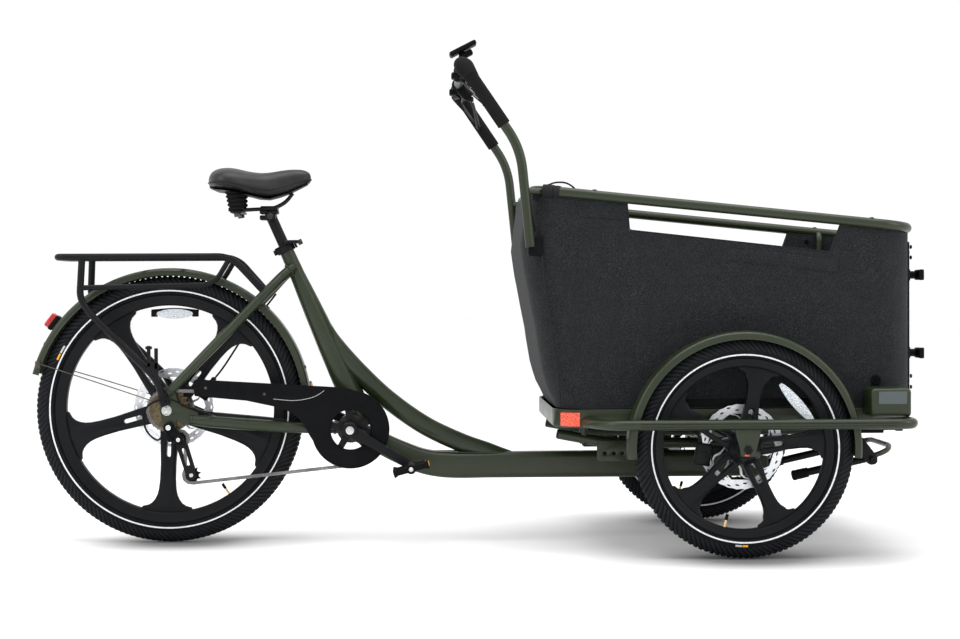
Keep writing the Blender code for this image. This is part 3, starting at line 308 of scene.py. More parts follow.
def webbing_look():
    look = Look("black_webbing", roughness=0.8, specular=0.2)
    weave = look.node("ShaderNodeTexWave", {"Vector": look.places, "Scale": 260.0, "Distortion": 1.0},
                      bands_direction="Z").outputs["Fac"]
    look.colour(weave, [(0.2, (0.006, 0.006, 0.007)), (0.8, (0.018, 0.018, 0.020))])
    look.bump(weave, 0.5, 0.0008)
    return look.material


LOOKS = {}


def make_looks():
    """Material and the record's slot for each finish."""
    LOOKS.update({
        "olive": (painted("olive_satin", (0.0105, 0.0165, 0.0050), (0.0160, 0.0235, 0.0080), 0.34,
                          specular=0.40), "olive_paint"),
        "panel": (painted("lamp_panel", (0.050, 0.064, 0.067), (0.072, 0.088, 0.093), 0.30,
                          specular=0.45), "olive_paint"),
        "black": (painted("black_satin", (0.0024, 0.0026, 0.0032), (0.0050, 0.0052, 0.0062), 0.42,
                          specular=0.16), "black_metal"),
        "cast": (painted("cast_black", (0.0026, 0.0030, 0.0038), (0.0055, 0.0060, 0.0072), 0.42, 900.0,
                         specular=0.14), "black_metal"),
        "tyre": (tyre_look(), "tyre"),
        "rib": (rubber_look("tyre_ribs", (0.0105, 0.0112, 0.0128), 0.60, 900.0, 0.20), "tyre"),
        "stripe": (prism_look("reflective_stripe", (0.62, 0.64, 0.66), (0.86, 0.87, 0.88)), "tyre"),
        "felt": (felt_look("heather_felt", (0.0045, 0.0048, 0.0056), (0.0125, 0.0133, 0.0150),
                           (0.0620, 0.0640, 0.0690)), "felt"),
        "lining": (felt_look("felt_lining", (0.006, 0.006, 0.007), (0.014, 0.014, 0.015),
                             (0.045, 0.045, 0.047)), "felt"),
        "piping": (webbing_look(), "felt"),
        "foam": (rubber_look("foam_rubber", (0.0070, 0.0070, 0.0074), 0.80, 900.0, 0.35), "rubber"),
        "plastic": (rubber_look("black_plastic", (0.0026, 0.0028, 0.0034), 0.45, 700.0, 0.08),
                    "black_plastic"),
        "gloss": (rubber_look("gloss_plastic", (0.0045, 0.0045, 0.0050), 0.18, 300.0, 0.02),
                  "black_plastic"),
        "saddle": (leather_look(), "saddle_cover"),
        "steel": (metal_look("bright_steel", (0.42, 0.42, 0.42), (0.80, 0.80, 0.80), 0.28), "steel"),
        "rotor": (metal_look("brake_disc", (0.55, 0.57, 0.60), (0.92, 0.93, 0.95), 0.36), "steel"),
        "chain": (metal_look("chain_steel", (0.07, 0.07, 0.07), (0.30, 0.29, 0.28), 0.38), "steel"),
        "dark_steel": (metal_look("dark_steel", (0.045, 0.040, 0.034), (0.13, 0.12, 0.10), 0.38),
                       "dark_steel"),
        "bronze": (metal_look("bronze_steel", (0.045, 0.036, 0.022), (0.24, 0.19, 0.11), 0.34),
                   "dark_steel"),
        "brass": (metal_look("brass", (0.52, 0.36, 0.14), (0.80, 0.60, 0.28), 0.30), "dark_steel"),
        "white_reflector": (prism_look("white_reflector", (0.40, 0.44, 0.48), (0.74, 0.77, 0.80)), "steel"),
        "red_reflector": (prism_look("red_reflector", (0.62, 0.045, 0.020), (0.95, 0.17, 0.09)),
                          "red_lens"),
        "red_lens": (prism_look("lamp_lens", (0.28, 0.006, 0.006), (0.60, 0.020, 0.018)), "red_lens"),
        "amber": (rubber_look("amber_mark", (0.75, 0.28, 0.02), 0.6, 500.0, 0.05), "tyre"),
        "pale_mark": (rubber_look("pale_mark", (0.36, 0.36, 0.36), 0.6, 500.0, 0.05), "tyre"),
    })


# ---- meshes ----
def from_bmesh(shape):
    mesh = bpy.data.meshes.new("shape")
    bmesh.ops.recalc_face_normals(shape, faces=shape.faces)
    shape.to_mesh(mesh)
    shape.free()
    return mesh


def joined(*meshes):
    """Several meshes as one."""
    shape = bmesh.new()
    for mesh in meshes:
        shape.from_mesh(mesh)
        bpy.data.meshes.remove(mesh)
    made = bpy.data.meshes.new("shape")
    shape.to_mesh(made)
    shape.free()
    return made


def tidied(mesh):
    shape = bmesh.new()
    shape.from_mesh(mesh)
    bmesh.ops.remove_doubles(shape, verts=shape.verts, dist=1e-6)
    return from_bmesh(shape)


def evaluated(data, modifiers=()):
    """Mesh of a curve or mesh with its modifiers applied; each modifier is (type, settings)."""
    guide = bpy.data.objects.new("guide", data)
    bpy.context.scene.collection.objects.link(guide)
    for kind, settings in modifiers:
        modifier = guide.modifiers.new(kind.title(), kind)
        for key, value in settings.items():
            setattr(modifier, key, value)
    graph = bpy.context.evaluated_depsgraph_get()
    mesh = bpy.data.meshes.new_from_object(guide.evaluated_get(graph))
    bpy.data.objects.remove(guide, do_unlink=True)
    return tidied(mesh)


def cut(first, *others):
    """The first mesh less the others."""
    scene = bpy.context.scene.collection
    body = bpy.data.objects.new("body", first)
    scene.objects.link(body)
    helpers = []
    for other in others:
        helper = bpy.data.objects.new("cutter", other)
        helper.hide_render = True
        scene.objects.link(helper)
        modifier = body.modifiers.new("Boolean", "BOOLEAN")
        modifier.operation = "DIFFERENCE"
        modifier.solver = "EXACT"
        modifier.object = helper
        helpers.append(helper)
    graph = bpy.context.evaluated_depsgraph_get()
    mesh = bpy.data.meshes.new_from_object(body.evaluated_get(graph))
    for thing in [body, *helpers]:
        bpy.data.objects.remove(thing, do_unlink=True)
    return tidied(mesh)


def loft(rings, ends=(True, True), cyclic=False):
    """Joins closed rings of equally many points, and fills the end rings."""
    shape = bmesh.new()
    loops = [[shape.verts.new(point) for point in ring] for ring in rings]
    pairs = list(zip(loops, loops[1:]))
    if cyclic:
        pairs.append((loops[-1], loops[0]))
    count = len(rings[0])
    for low, high in pairs:
        for i in range(count):
            j = (i + 1) % count
            shape.faces.new((low[i], low[j], high[j], high[i]))
    if ends[0] and not cyclic:
        shape.faces.new(reversed(loops[0]))
    if ends[1] and not cyclic:
        shape.faces.new(loops[-1])
    return from_bmesh(shape)


def lathe(profile, base, direction, steps=32, cyclic=False):
    """Turns a profile of (radius, height) about the line from base along direction."""
    turn = direction.to_track_quat("Z", "Y").to_matrix()
    rings = []
    for radius, height in profile:
        ring = []
        for i in range(steps):
            angle = math.tau * i / steps
            ring.append(base + turn @ Vector((radius * math.cos(angle), radius * math.sin(angle), height)))
        rings.append(ring)
    return loft(rings, cyclic=cyclic)


def swept(profile, centre, first, last, steps):
    """A closed profile of (radius, y) carried round a level axis between two angles."""
    rings = []
    for i in range(steps + 1):
        angle = math.radians(first + (last - first) * i / steps)
        rings.append([centre + Vector((r * math.cos(angle), y, r * math.sin(angle))) for r, y in profile])
    return loft(rings)


def rod(start, end, radius, end_radius=None, steps=20, edge=0.0006):
    """A round bar or cone with softened ends."""
    far = radius if end_radius is None else end_radius
    length = (end - start).length
    profile = [(radius - edge, 0), (radius, edge), (far, length - edge), (far - edge, length)]
    return lathe(profile, start, end - start, steps)


def tube(points, radius, sides=16, cyclic=False):
    """A round tube along points; radius is one number, or one for each point."""
    radii = radius if isinstance(radius, (list, tuple)) else [radius] * len(points)
    count = len(points)
    rings = []
    side = None
    for i, point in enumerate(points):
        before = points[(i - 1) % count] if cyclic or i else point
        after = points[(i + 1) % count] if cyclic or i < count - 1 else point
        ahead = (after - before).normalized()
        if side is None:
            side = ahead.orthogonal().normalized()
        side = (side - ahead * side.dot(ahead)).normalized()
        over = ahead.cross(side)
        ring = []
        for k in range(sides):
            angle = math.tau * k / sides
            ring.append(point + radii[i] * (math.cos(angle) * side + math.sin(angle) * over))
        rings.append(ring)
    if not cyclic:
        return loft(rings)
    last, first = rings[-1], rings[0]
    shift = min(range(sides), key=lambda k: (last[0] - first[k]).length)
    rings.append([first[(k + shift) % sides] for k in range(sides)])
    return tidied(loft(rings, ends=(False, False)))


def bent(points, radius, steps=8):
    """A polyline with each inner corner rounded off over about that radius."""
    route = [points[0]]
    for before, corner, after in zip(points, points[1:], points[2:]):
        reach = min(radius, (corner - before).length * 0.49, (after - corner).length * 0.49)
        start = corner + (before - corner).normalized() * reach
        end = corner + (after - corner).normalized() * reach
        for i in range(steps + 1):
            t = i / steps
            route.append(start * (1 - t) ** 2 + corner * 2 * t * (1 - t) + end * t ** 2)
    route.append(points[-1])
    return route


def smooth(points, steps=8):
    """A Catmull-Rom curve through points."""
    ends = [points[0] * 2 - points[1], *points, points[-1] * 2 - points[-2]]
    route = []
    for a, b, c, d in zip(ends, ends[1:], ends[2:], ends[3:]):
        for i in range(steps):
            t = i / steps
            route.append(0.5 * (2 * b + (c - a) * t + (2 * a - 5 * b + 4 * c - d) * t ** 2
                                + (3 * b - a - 3 * c + d) * t ** 3))
    route.append(points[-1])
    return route


def spread(values, count):
    """Values eased linearly over a longer list."""
    out = []
    for i in range(count):
        place = i * (len(values) - 1) / (count - 1)
        low = min(int(place), len(values) - 2)
        out.append(values[low] + (values[low + 1] - values[low]) * (place - low))
    return out


def slab(centre, size, turn=Matrix.Identity(4), bevel=0.002, segments=3):
    """A block with rounded edges."""
    shape = bmesh.new()
    bmesh.ops.create_cube(shape, size=1.0)
    bmesh.ops.scale(shape, vec=Vector(size), verts=shape.verts)
    bmesh.ops.bevel(shape, geom=shape.edges[:], offset=bevel, segments=segments, profile=0.5,
                    affect="EDGES")
    mesh = from_bmesh(shape)
    mesh.transform(Matrix.Translation(centre) @ turn)
    return mesh


def arc(centre, radius, first, last, steps):
    """Points (x, z) round a centre, from one angle to another in degrees."""
    angles = [math.radians(first + (last - first) * i / steps) for i in range(steps + 1)]
    return [(centre[0] + radius * math.cos(a), centre[1] + radius * math.sin(a)) for a in angles]


def circle(centre, radius, steps):
    return arc(centre, radius, 0, 360, steps)[:-1]


def flat(outlines, thickness, bevel=0.0):
    """A flat plate in XZ about y = 0 from closed outlines of (x, z); inner outlines are holes."""
    curve = bpy.data.curves.new("plate", "CURVE")
    curve.dimensions = "2D"
    curve.fill_mode = "BOTH"
    curve.extrude = thickness / 2 - bevel
    curve.bevel_depth = bevel
    curve.bevel_resolution = 1
    for outline in outlines:
        spline = curve.splines.new("POLY")
        spline.points.add(len(outline) - 1)
        for point, (x, z) in zip(spline.points, outline):
            point.co = (x, z, 0.0, 1.0)
        spline.use_cyclic_u = True
    mesh = evaluated(curve)
    mesh.transform(Matrix.Rotation(math.radians(90), 4, "X"))
    return mesh


def plate(outlines, y, thickness, bevel=0.0):
    """The same, measured from below the rear axle, at that y."""
    return moved(flat(outlines, thickness, bevel), at(0, y, 0))


def moved(mesh, by):
    mesh.transform(Matrix.Translation(by))
    return mesh


def turned(mesh, degrees, axis="Y"):
    mesh.transform(Matrix.Rotation(math.radians(degrees), 4, axis))
    return mesh


def across(mesh):
    """The same mesh on the other side of the vehicle."""
    mesh.transform(Matrix.Scale(-1, 4, Y_AXIS))
    return tidied(mesh)


def mirrored(points):
    return [Vector((p.x, -p.y, p.z)) for p in points]


def bolt(base, direction, radius, height, socket=0.5):
    """A round-headed bolt with a sunk centre."""
    sunk = radius * socket
    profile = [(radius, 0), (radius, height * 0.55), (radius * 0.82, height * 0.92),
               (radius * 0.62, height), (sunk, height), (sunk * 0.9, height * 0.35),
               (0.0003, height * 0.35)]
    return lathe(profile, base, direction, 18)


def nut(base, direction, radius, height):
    """A hexagonal nut."""
    profile = [(radius * 0.92, 0), (radius, height * 0.1), (radius, height * 0.85), (radius * 0.86, height)]
    return lathe(profile, base, direction, 6)


def piece(name, mesh, look, body, *nodes, angle=35):
    """Adds a finished piece that rides on a body and stands for those CAD nodes."""
    material, slot = LOOKS[look]
    thing = bpy.data.objects.new(name, mesh)
    mesh.materials.clear()
    mesh.materials.append(material)
    mesh.shade_smooth()
    mesh.set_sharp_from_angle(angle=math.radians(angle))
    bpy.context.scene.collection.objects.link(thing)
    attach(thing, body)
    if nodes:
        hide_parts(*nodes)
    return thing


# ---- wheels ----
def tyre_radius(size, share):
    """Radius and y of the tyre's skin; share runs from 0 on the crown to 1 at the shoulder's end."""
    angle = share * math.pi / 2
    crown = size["outer"] - 0.0029
    return crown - 0.0320 * (1 - math.cos(angle)), TYRE_HALF * math.sin(angle) ** 0.92


def wall_y(size, radius):
    """Half width of the tyre's side wall at a radius."""
    top = size["outer"] - 0.0344
    share = min(1.0, max(0.0, (top - radius) / (top - size["bead"])))
    return TYRE_HALF - 0.0100 * share ** 1.7


def tyre(size, centre):
    crown = [tyre_radius(size, i / 8) for i in range(9)]
    bead = size["bead"] + 0.0002
    low, high = bead + 0.0090, size["outer"] - 0.0360
    wall = [(r, wall_y(size, r)) for r in [high + (low - high) * k / 5 for k in range(6)]]
    wall += [(bead + 0.0082, wall_y(size, low) - 0.0010), (bead + 0.0070, 0.0180), (bead, 0.0160)]
    half = crown + wall
    profile = [(r, -y) for r, y in reversed(half[1:])] + half
    return lathe(profile, centre, Y_AXIS, 144, cyclic=True)


def tread(size, centre):
    """Slanted ribs from the crown to both shoulders, like a herringbone."""
    shape = bmesh.new()
    pitch = math.tau / size["blocks"]
    for side in (-1, 1):
        for k in range(size["blocks"]):
            rows = []
            for i in range(6):
                share = 0.05 + 0.83 * i / 5
                radius, y = tyre_radius(size, share)
                start = (k + (0.25 if side > 0 else 0)) * pitch - 2.6 * pitch * share * share
                height = 0.0027 if i < 5 else 0.0010
                row = []
                for offset, lift in ((0, -0.001), (0.06, height), (0.52, height), (0.58, -0.001)):
                    angle = start + offset * pitch
                    tilt = share * math.pi / 2
                    reach = radius + lift * math.cos(tilt)
                    point = Vector((reach * math.cos(angle), side * (y + lift * math.sin(tilt) * 0.35),
                                    reach * math.sin(angle)))
                    row.append(shape.verts.new(centre + point))
                rows.append(row)
            for low, high in zip(rows, rows[1:]):
                for j in range(3):
                    shape.faces.new((low[j], low[j + 1], high[j + 1], high[j]))
                shape.faces.new((low[3], low[0], high[0], high[3]))
            shape.faces.new(reversed(rows[0]))
            shape.faces.new(rows[-1])
    return from_bmesh(shape)


def stripe(size, centre):
    """The thin reflective line on both walls of the tyre."""
    low, high = size["stripe"] - 0.0017, size["stripe"] + 0.0017
    rings = []
    for side in (-1, 1):
        profile = [(low, side * (wall_y(size, low) - 0.0008)), (low, side * (wall_y(size, low) + 0.0004)),
                   (high, side * (wall_y(size, high) + 0.0004)),
                   (high, side * (wall_y(size, high) - 0.0008))]
        rings.append(lathe(profile, centre, Y_AXIS, 144, cyclic=True))
    return joined(*rings)


def rim(size, centre):
    bead, opening = size["bead"], size["opening"]
    half = [(bead + 0.0062, 0.0168), (bead + 0.0066, 0.0182), (bead + 0.0050, 0.0192),
            (bead + 0.0010, 0.0186), (bead - 0.0020, 0.0168), (bead - 0.0050, 0.0158),
            (opening + 0.0050, 0.0146), (opening + 0.0012, 0.0128), (opening, 0.0104)]
    profile = half + [(r, -y) for r, y in reversed(half)]
    return lathe(profile, centre, Y_AXIS, 144, cyclic=True)


def spoke(size):
    """A broad arm with a slot by the hub and a fillet that runs out into the rim."""
    opening, arm, edge = size["opening"], size["arm"], 0.0035
    scale = opening / 0.2585
    reach = [(opening - 0.120 * scale, arm), (opening - 0.080 * scale, arm + 0.0006),
             (opening - 0.056 * scale, arm + 0.0026), (opening - 0.040 * scale, arm + 0.0062),
             (opening - 0.027 * scale, arm + 0.0120), (opening - 0.016 * scale, arm + 0.0200 * scale),
             (opening - 0.008 * scale, arm + 0.0300 * scale), (opening - 0.002, arm + 0.0430 * scale)]
    sides = [(0.034, arm + 0.0010), (0.060, arm + 0.0004)]
    sides += [(math.sqrt(r * r - w * w), w - edge) for r, w in reach]
    swing = math.degrees(math.asin((arm + 0.0445 * scale) / opening))
    end = arc((0, 0), opening + 0.0060, swing, -swing, 12)
    outline = sides + end + [(x, -w) for x, w in reversed(sides)]
    low, high, half = size["slot"]
    slot = arc((low, 0), half + edge, 90, 270, 8) + arc((high, 0), half + edge, -90, 90, 8)
    mesh = flat([outline, slot], 0.0200, bevel=edge)
    for vertex in mesh.vertices:
        reached = min(1.0, max(0.0, (vertex.co.x - 0.04) / (opening - 0.08)))
        rounding = 1.0 - 0.22 * min(1.0, abs(vertex.co.z) / 0.022) ** 2
        vertex.co.y *= (1.75 - 0.80 * reached) * rounding
    return mesh


def mag_wheel(size, centre, hub):
    meshes = [rim(size, centre), lathe(hub, centre, Y_AXIS, 48)]
    for i in range(5):
        meshes.append(moved(turned(spoke(size), -size["first"] - 72 * i), centre))
    return joined(*meshes)


def brake_disc(thickness=0.0018):
    """Disc with oval vents in its ring, and leaning wavy arms to the carrier."""
    centre = (0.0, 0.0)
    outer = [(0.1005, 0), (0.0990, 6)]
    rim_line = []
    for i in range(30):
        for radius, step in outer:
            angle = math.radians(i * 12 + step)
            rim_line.append((radius * math.cos(angle), radius * math.sin(angle)))
    holes = []
    for i in range(30):
        angle = math.radians(i * 12)
        middle = 0.0950 if i % 3 == 0 else 0.0905 if i % 3 == 1 else 0.0865
        hole = []
        for k in range(10):
            turn = math.tau * k / 10
            along, over = 0.0050 * math.cos(turn), 0.0021 * math.sin(turn)
            r = middle + over
            a = angle + along / middle + 0.5 * over / middle
            hole.append((r * math.cos(a), r * math.sin(a)))
        holes.append(hole)
    arms = 10
    for i in range(arms):
        start = math.tau * i / arms
        step = math.tau / arms
        first, second = [], []
        for k in range(7):
            share = k / 6
            r = 0.0370 + 0.0435 * share
            lean = 0.62 * share + 0.10 * math.sin(share * math.tau)
            half_arm = 0.0026 / r
            first.append((r, start + lean + half_arm))
            second.append((r, start + lean + step - half_arm))
        loop = first + list(reversed(second))
        holes.append([(r * math.cos(a), r * math.sin(a)) for r, a in loop])
    for i in range(6):
        angle = math.tau * i / 6
        holes.append(circle((0.0275 * math.cos(angle), 0.0275 * math.sin(angle)), 0.0026, 8))
    return flat([rim_line, circle(centre, 0.0205, 24), *holes], thickness)


def rotor_bolts(centre, y, side):
    meshes = []
    for i in range(6):
        angle = math.tau * i / 6
        base = centre + Vector((0.0275 * math.cos(angle), y, 0.0275 * math.sin(angle)))
        meshes.append(bolt(base, Vector((0, side, 0)), 0.0036, 0.0022))
    return joined(*meshes)


def valve(size, centre):
    """Brass valve with a black cap, standing in from the rim."""
    angle = math.radians(size["valve"])
    out = Vector((math.cos(angle), 0, math.sin(angle)))
    top = centre + out * (size["opening"] + 0.004)
    stem = lathe([(0.0042, 0), (0.0042, 0.004), (0.0030, 0.006), (0.0030, 0.020), (0.0024, 0.022)],
                 top, -out, 14)
    ridges = [(0.0036 + 0.0003 * (i % 2), 0.020 + 0.0012 * i) for i in range(11)] + [(0.0028, 0.0345)]
    cap = lathe(ridges, top, -out, 14)
    return stem, cap


def wheel(name, size, centre, body, hub, rotor_y, side):
    node = name.replace("_wheel", "")
    piece(f"{name}_tyre_skin", tyre(size, centre), "tyre", body, f"{node}_tyre", angle=50)
    piece(f"{name}_tread", tread(size, centre), "rib", body, angle=30)
    piece(f"{name}_stripe", stripe(size, centre), "stripe", body)
    piece(f"{name}_casting", mag_wheel(size, centre, hub), "cast", body, f"{node}_mag_wheel", angle=40)
    piece(f"{name}_disc", moved(brake_disc(), centre + Y_AXIS * rotor_y), "rotor", body, f"{node}_rotor")
    piece(f"{name}_disc_bolts", rotor_bolts(centre, rotor_y + side * 0.0009, side), "dark_steel", body)
    stem, cap = valve(size, centre)
    piece(f"{name}_valve", stem, "brass", body)
    piece(f"{name}_valve_cap", cap, "plastic", body)


def leaf(length, width, depth, mounts):
    """A long lens, pointed at both ends, with a hole at each; lies along X."""
    outline = []
    for i in range(25):
        share = -1 + 2 * i / 24
        outline.append((share * length / 2, width / 2 * (1 - share * share) ** 0.75 + mounts))
    outline += [(x, -z) for x, z in reversed(outline)]
    holes = [circle((s * (length / 2 - 0.006), 0), 0.0016, 8) for s in (-1, 1)] if mounts > 0.002 else []
    return flat([outline, *holes], depth, bevel=0.0008)


def rear_wheel():
    centre = at(0, 0, REAR_WHEEL["outer"])
    hub = [(0.0066, 0.0570), (0.022, 0.0570), (0.022, 0.0550), (0.034, 0.0540), (0.036, 0.0500),
           (0.040, 0.0400), (0.052, 0.0340), (0.056, 0.0240), (0.057, 0.0), (0.056, -0.0240),
           (0.052, -0.0340), (0.034, -0.0400), (0.028, -0.0450), (0.0066, -0.0450)]
    wheel("rear_wheel", REAR_WHEEL, centre, "rear_wheel", hub, 0.0557, 1)
    lens = moved(turned(leaf(0.088, 0.019, 0.006, 0.0020), 0), at(0.013, -0.0105, 0.5715))
    piece("rear_wheel_reflector", lens, "white_reflector", "rear_wheel")
    mounts = [slab(at(0.013 + s * 0.051, -0.008, 0.5715 + 0.0005), (0.016, 0.010, 0.016), bevel=0.002)
              for s in (-1, 1)]
    bar = tube(smooth([at(-0.046, -0.004, 0.5790), at(0.013, -0.004, 0.5830), at(0.072, -0.004, 0.5780)]),
               0.0035, 10)
    piece("rear_wheel_reflector_mount", joined(bar, *mounts), "plastic", "rear_wheel")
    tyre_marks("rear_wheel", REAR_WHEEL, centre, -1, 152.5, "rear_wheel")


def tyre_marks(name, size, centre, side, degrees, body):
    """Two small plain colour patches on the tyre's wall."""
    r = size["stripe"] + 0.0075
    for label, look, first, last in (("amber", "amber", degrees, degrees + 3.2),
                                     ("grey", "pale_mark", degrees - 4.2, degrees - 0.4)):
        low, high = wall_y(size, r - 0.0022), tyre_radius(size, 0.86)[1]
        profile = [(r - 0.0022, side * (low - 0.0006)), (r - 0.0022, side * (low + 0.0004)),
                   (r + 0.0022, side * (high + 0.0010)), (r + 0.0022, side * (high - 0.0010))]
        piece(f"{name}_{label}_patch", swept(profile, centre, first, last, 5), look, body)


def front_wheel(side, name, body):
    centre = at(WHEELBASE, side * TRACK_HALF, FRONT_WHEEL["outer"])
    half = [(0.0066, -0.0372), (0.022, -0.0372), (0.022, -0.0350), (0.036, -0.0345), (0.038, -0.030),
            (0.039, -0.010), (0.040, 0.012), (0.036, 0.024), (0.028, 0.034), (0.025, 0.0445),
            (0.0066, 0.0450)]
    hub = [(r, side * y) for r, y in half]
    wheel(f"{name}_wheel", FRONT_WHEEL, centre, body, hub, -side * 0.0357, -side)
    lens = turned(leaf(0.118, 0.017, 0.004, 0.0028), 49)
    spot = centre + Vector((0.122, side * 0.0150, 0.104))
    piece(f"{name}_wheel_reflector", moved(lens, spot), "white_reflector", body)
    clips = [slab(spot + Vector((0.034 * s, -side * 0.006, -0.039 * s)), (0.010, 0.012, 0.008),
                  Matrix.Rotation(math.radians(49), 4, "Y"), bevel=0.002) for s in (-1, 1)]
    piece(f"{name}_wheel_reflector_clips", joined(*clips), "plastic", body)
    tyre_marks(f"{name}_wheel", FRONT_WHEEL, centre, side, 268, body)


# ---- fenders ----
def fender(size, clearance, centre, half, first, last, skirt, steps=72):
    """A thin crowned channel with rolled lower edges and rounded ends."""
    radius = size["outer"] + clearance + 0.0008
    outside = [(radius - skirt, half + 0.0012), (radius - skirt * 0.45, half + 0.0004),
               (radius - 0.0052, half - 0.0012), (radius - 0.0022, half - 0.0060),
               (radius - 0.0008, half * 0.50), (radius, 0.0)]
    full = [(r, -y) for r, y in outside[:-1]] + list(reversed(outside))
    inside = [(r - 0.0016, y * 0.955) for r, y in reversed(full)]
    inside[0] = (full[-1][0] + 0.0002, full[-1][1] - 0.0022)
    inside[-1] = (full[0][0] + 0.0002, full[0][1] + 0.0022)
    return swept(full + inside, centre, first, last, steps)


def rolled_edges(size, clearance, centre, half, first, last, skirt):
    """The bead along both lower edges of a fender."""
    r = size["outer"] + clearance + 0.0008 - skirt
    beads = []
    for side in (-1, 1):
        route = []
        for i in range(73):
            a = math.radians(first + (last - first) * i / 72)
            route.append(centre + Vector((r * math.cos(a), side * (half + 0.0002), r * math.sin(a))))
        beads.append(tube(route, 0.0016, 8))
    return joined(*beads)


def rear_fender():
    centre = at(0, 0, REAR_WHEEL["outer"])
    spec = (REAR_WHEEL, 0.0185, centre, 0.032, 3, 165, 0.018)
    piece("rear_fender_skin", joined(fender(*spec), rolled_edges(*spec)), "olive", "rear_frame",
          "rear_fender")
    bolts = []
    for degrees in (17, 46, 120, 152):
        out = Vector((math.cos(math.radians(degrees)), 0, math.sin(math.radians(degrees))))
        for side in (-1, 1):
            base = centre + out * 0.3500 + Y_AXIS * side * 0.012
            bolts.append(bolt(base, out, 0.0052, 0.0034))
    piece("rear_fender_bolts", joined(*bolts), "black", "rear_frame")
    stays = []
    for side in (-1, 1):
        route = [at(-0.012, side * 0.0800, 0.3500), at(-0.170, side * 0.060, 0.4020),
                 at(-0.322, side * 0.0345, 0.4500)]
        stays.append(tube(smooth(route), 0.0013, 8))
        stays.append(slab(at(-0.324, side * 0.0345, 0.4465), (0.012, 0.004, 0.018), bevel=0.001))
    piece("rear_fender_stays", joined(*stays), "dark_steel", "rear_frame")


def front_fenders():
    for side, name in ((-1, "right"), (1, "left")):
        centre = at(WHEELBASE, side * TRACK_HALF, FRONT_WHEEL["outer"])
        spec = (FRONT_WHEEL, 0.0155, centre, 0.034, -5, 185, 0.019)
        brackets = [slab(at(WHEELBASE + x, side * 0.3330, 0.5150 - abs(x) * 0.3), (0.030, 0.0250, 0.0050),
                         bevel=0.0012) for x in (-0.045, 0.045)]
        piece(f"front_fender_{name}_skin", joined(fender(*spec), rolled_edges(*spec), *brackets),
              "olive", "front_carriage", f"front_fender_{name}")
        bolts = []
        for degrees in (4, 90, 176):
            out = Vector((math.cos(math.radians(degrees)), 0, math.sin(math.radians(degrees))))
            bolts.append(bolt(centre + out * 0.2712 + Y_AXIS * side * -0.010, out, 0.0045, 0.0030))
        piece(f"front_fender_{name}_bolts", joined(*bolts), "black", "front_carriage")


# ---- rear frame ----
def seat_up():
    return Vector((-math.cos(math.radians(66)), 0, math.sin(math.radians(66))))


def weld(points, radius=0.0022):
    """A rippled weld bead along a closed line."""
    sizes = [radius * (1.0 + 0.22 * math.sin(i * 2.1)) for i in range(len(points))]
    return tube(points, sizes, 8, cyclic=True)


def ring_points(centre, direction, radius, stretch=1.0, steps=40):
    """An ellipse round a direction, for welds and bands."""
    turn = direction.to_track_quat("Z", "Y").to_matrix()
    points = []
    for i in range(steps):
        a = math.tau * i / steps
        points.append(centre + turn @ Vector((radius * math.cos(a), radius * stretch * math.sin(a), 0)))
    return points


def seat_tube_route():
    top = at(0.285, 0, 0.743)
    knee = top - seat_up() * 0.17
    foot = at(0.4812, 0, 0.300)
    points = [top, top.lerp(knee, 0.5), knee, knee.lerp(foot, 0.35), knee.lerp(foot, 0.7), foot]
    route = smooth(points, 8)
    return route, spread([0.0175, 0.0190, 0.0240, 0.0285, 0.0315, 0.0320], len(route))


def stay_route(side):
    points = [at(0.310, side * 0.0150, 0.688), at(0.281, side * 0.0290, 0.662),
              at(0.235, side * 0.0500, 0.614), at(0.119, side * 0.062, 0.4955),
              at(0.003, side * 0.0740, 0.376)]
    return smooth(points, 8)


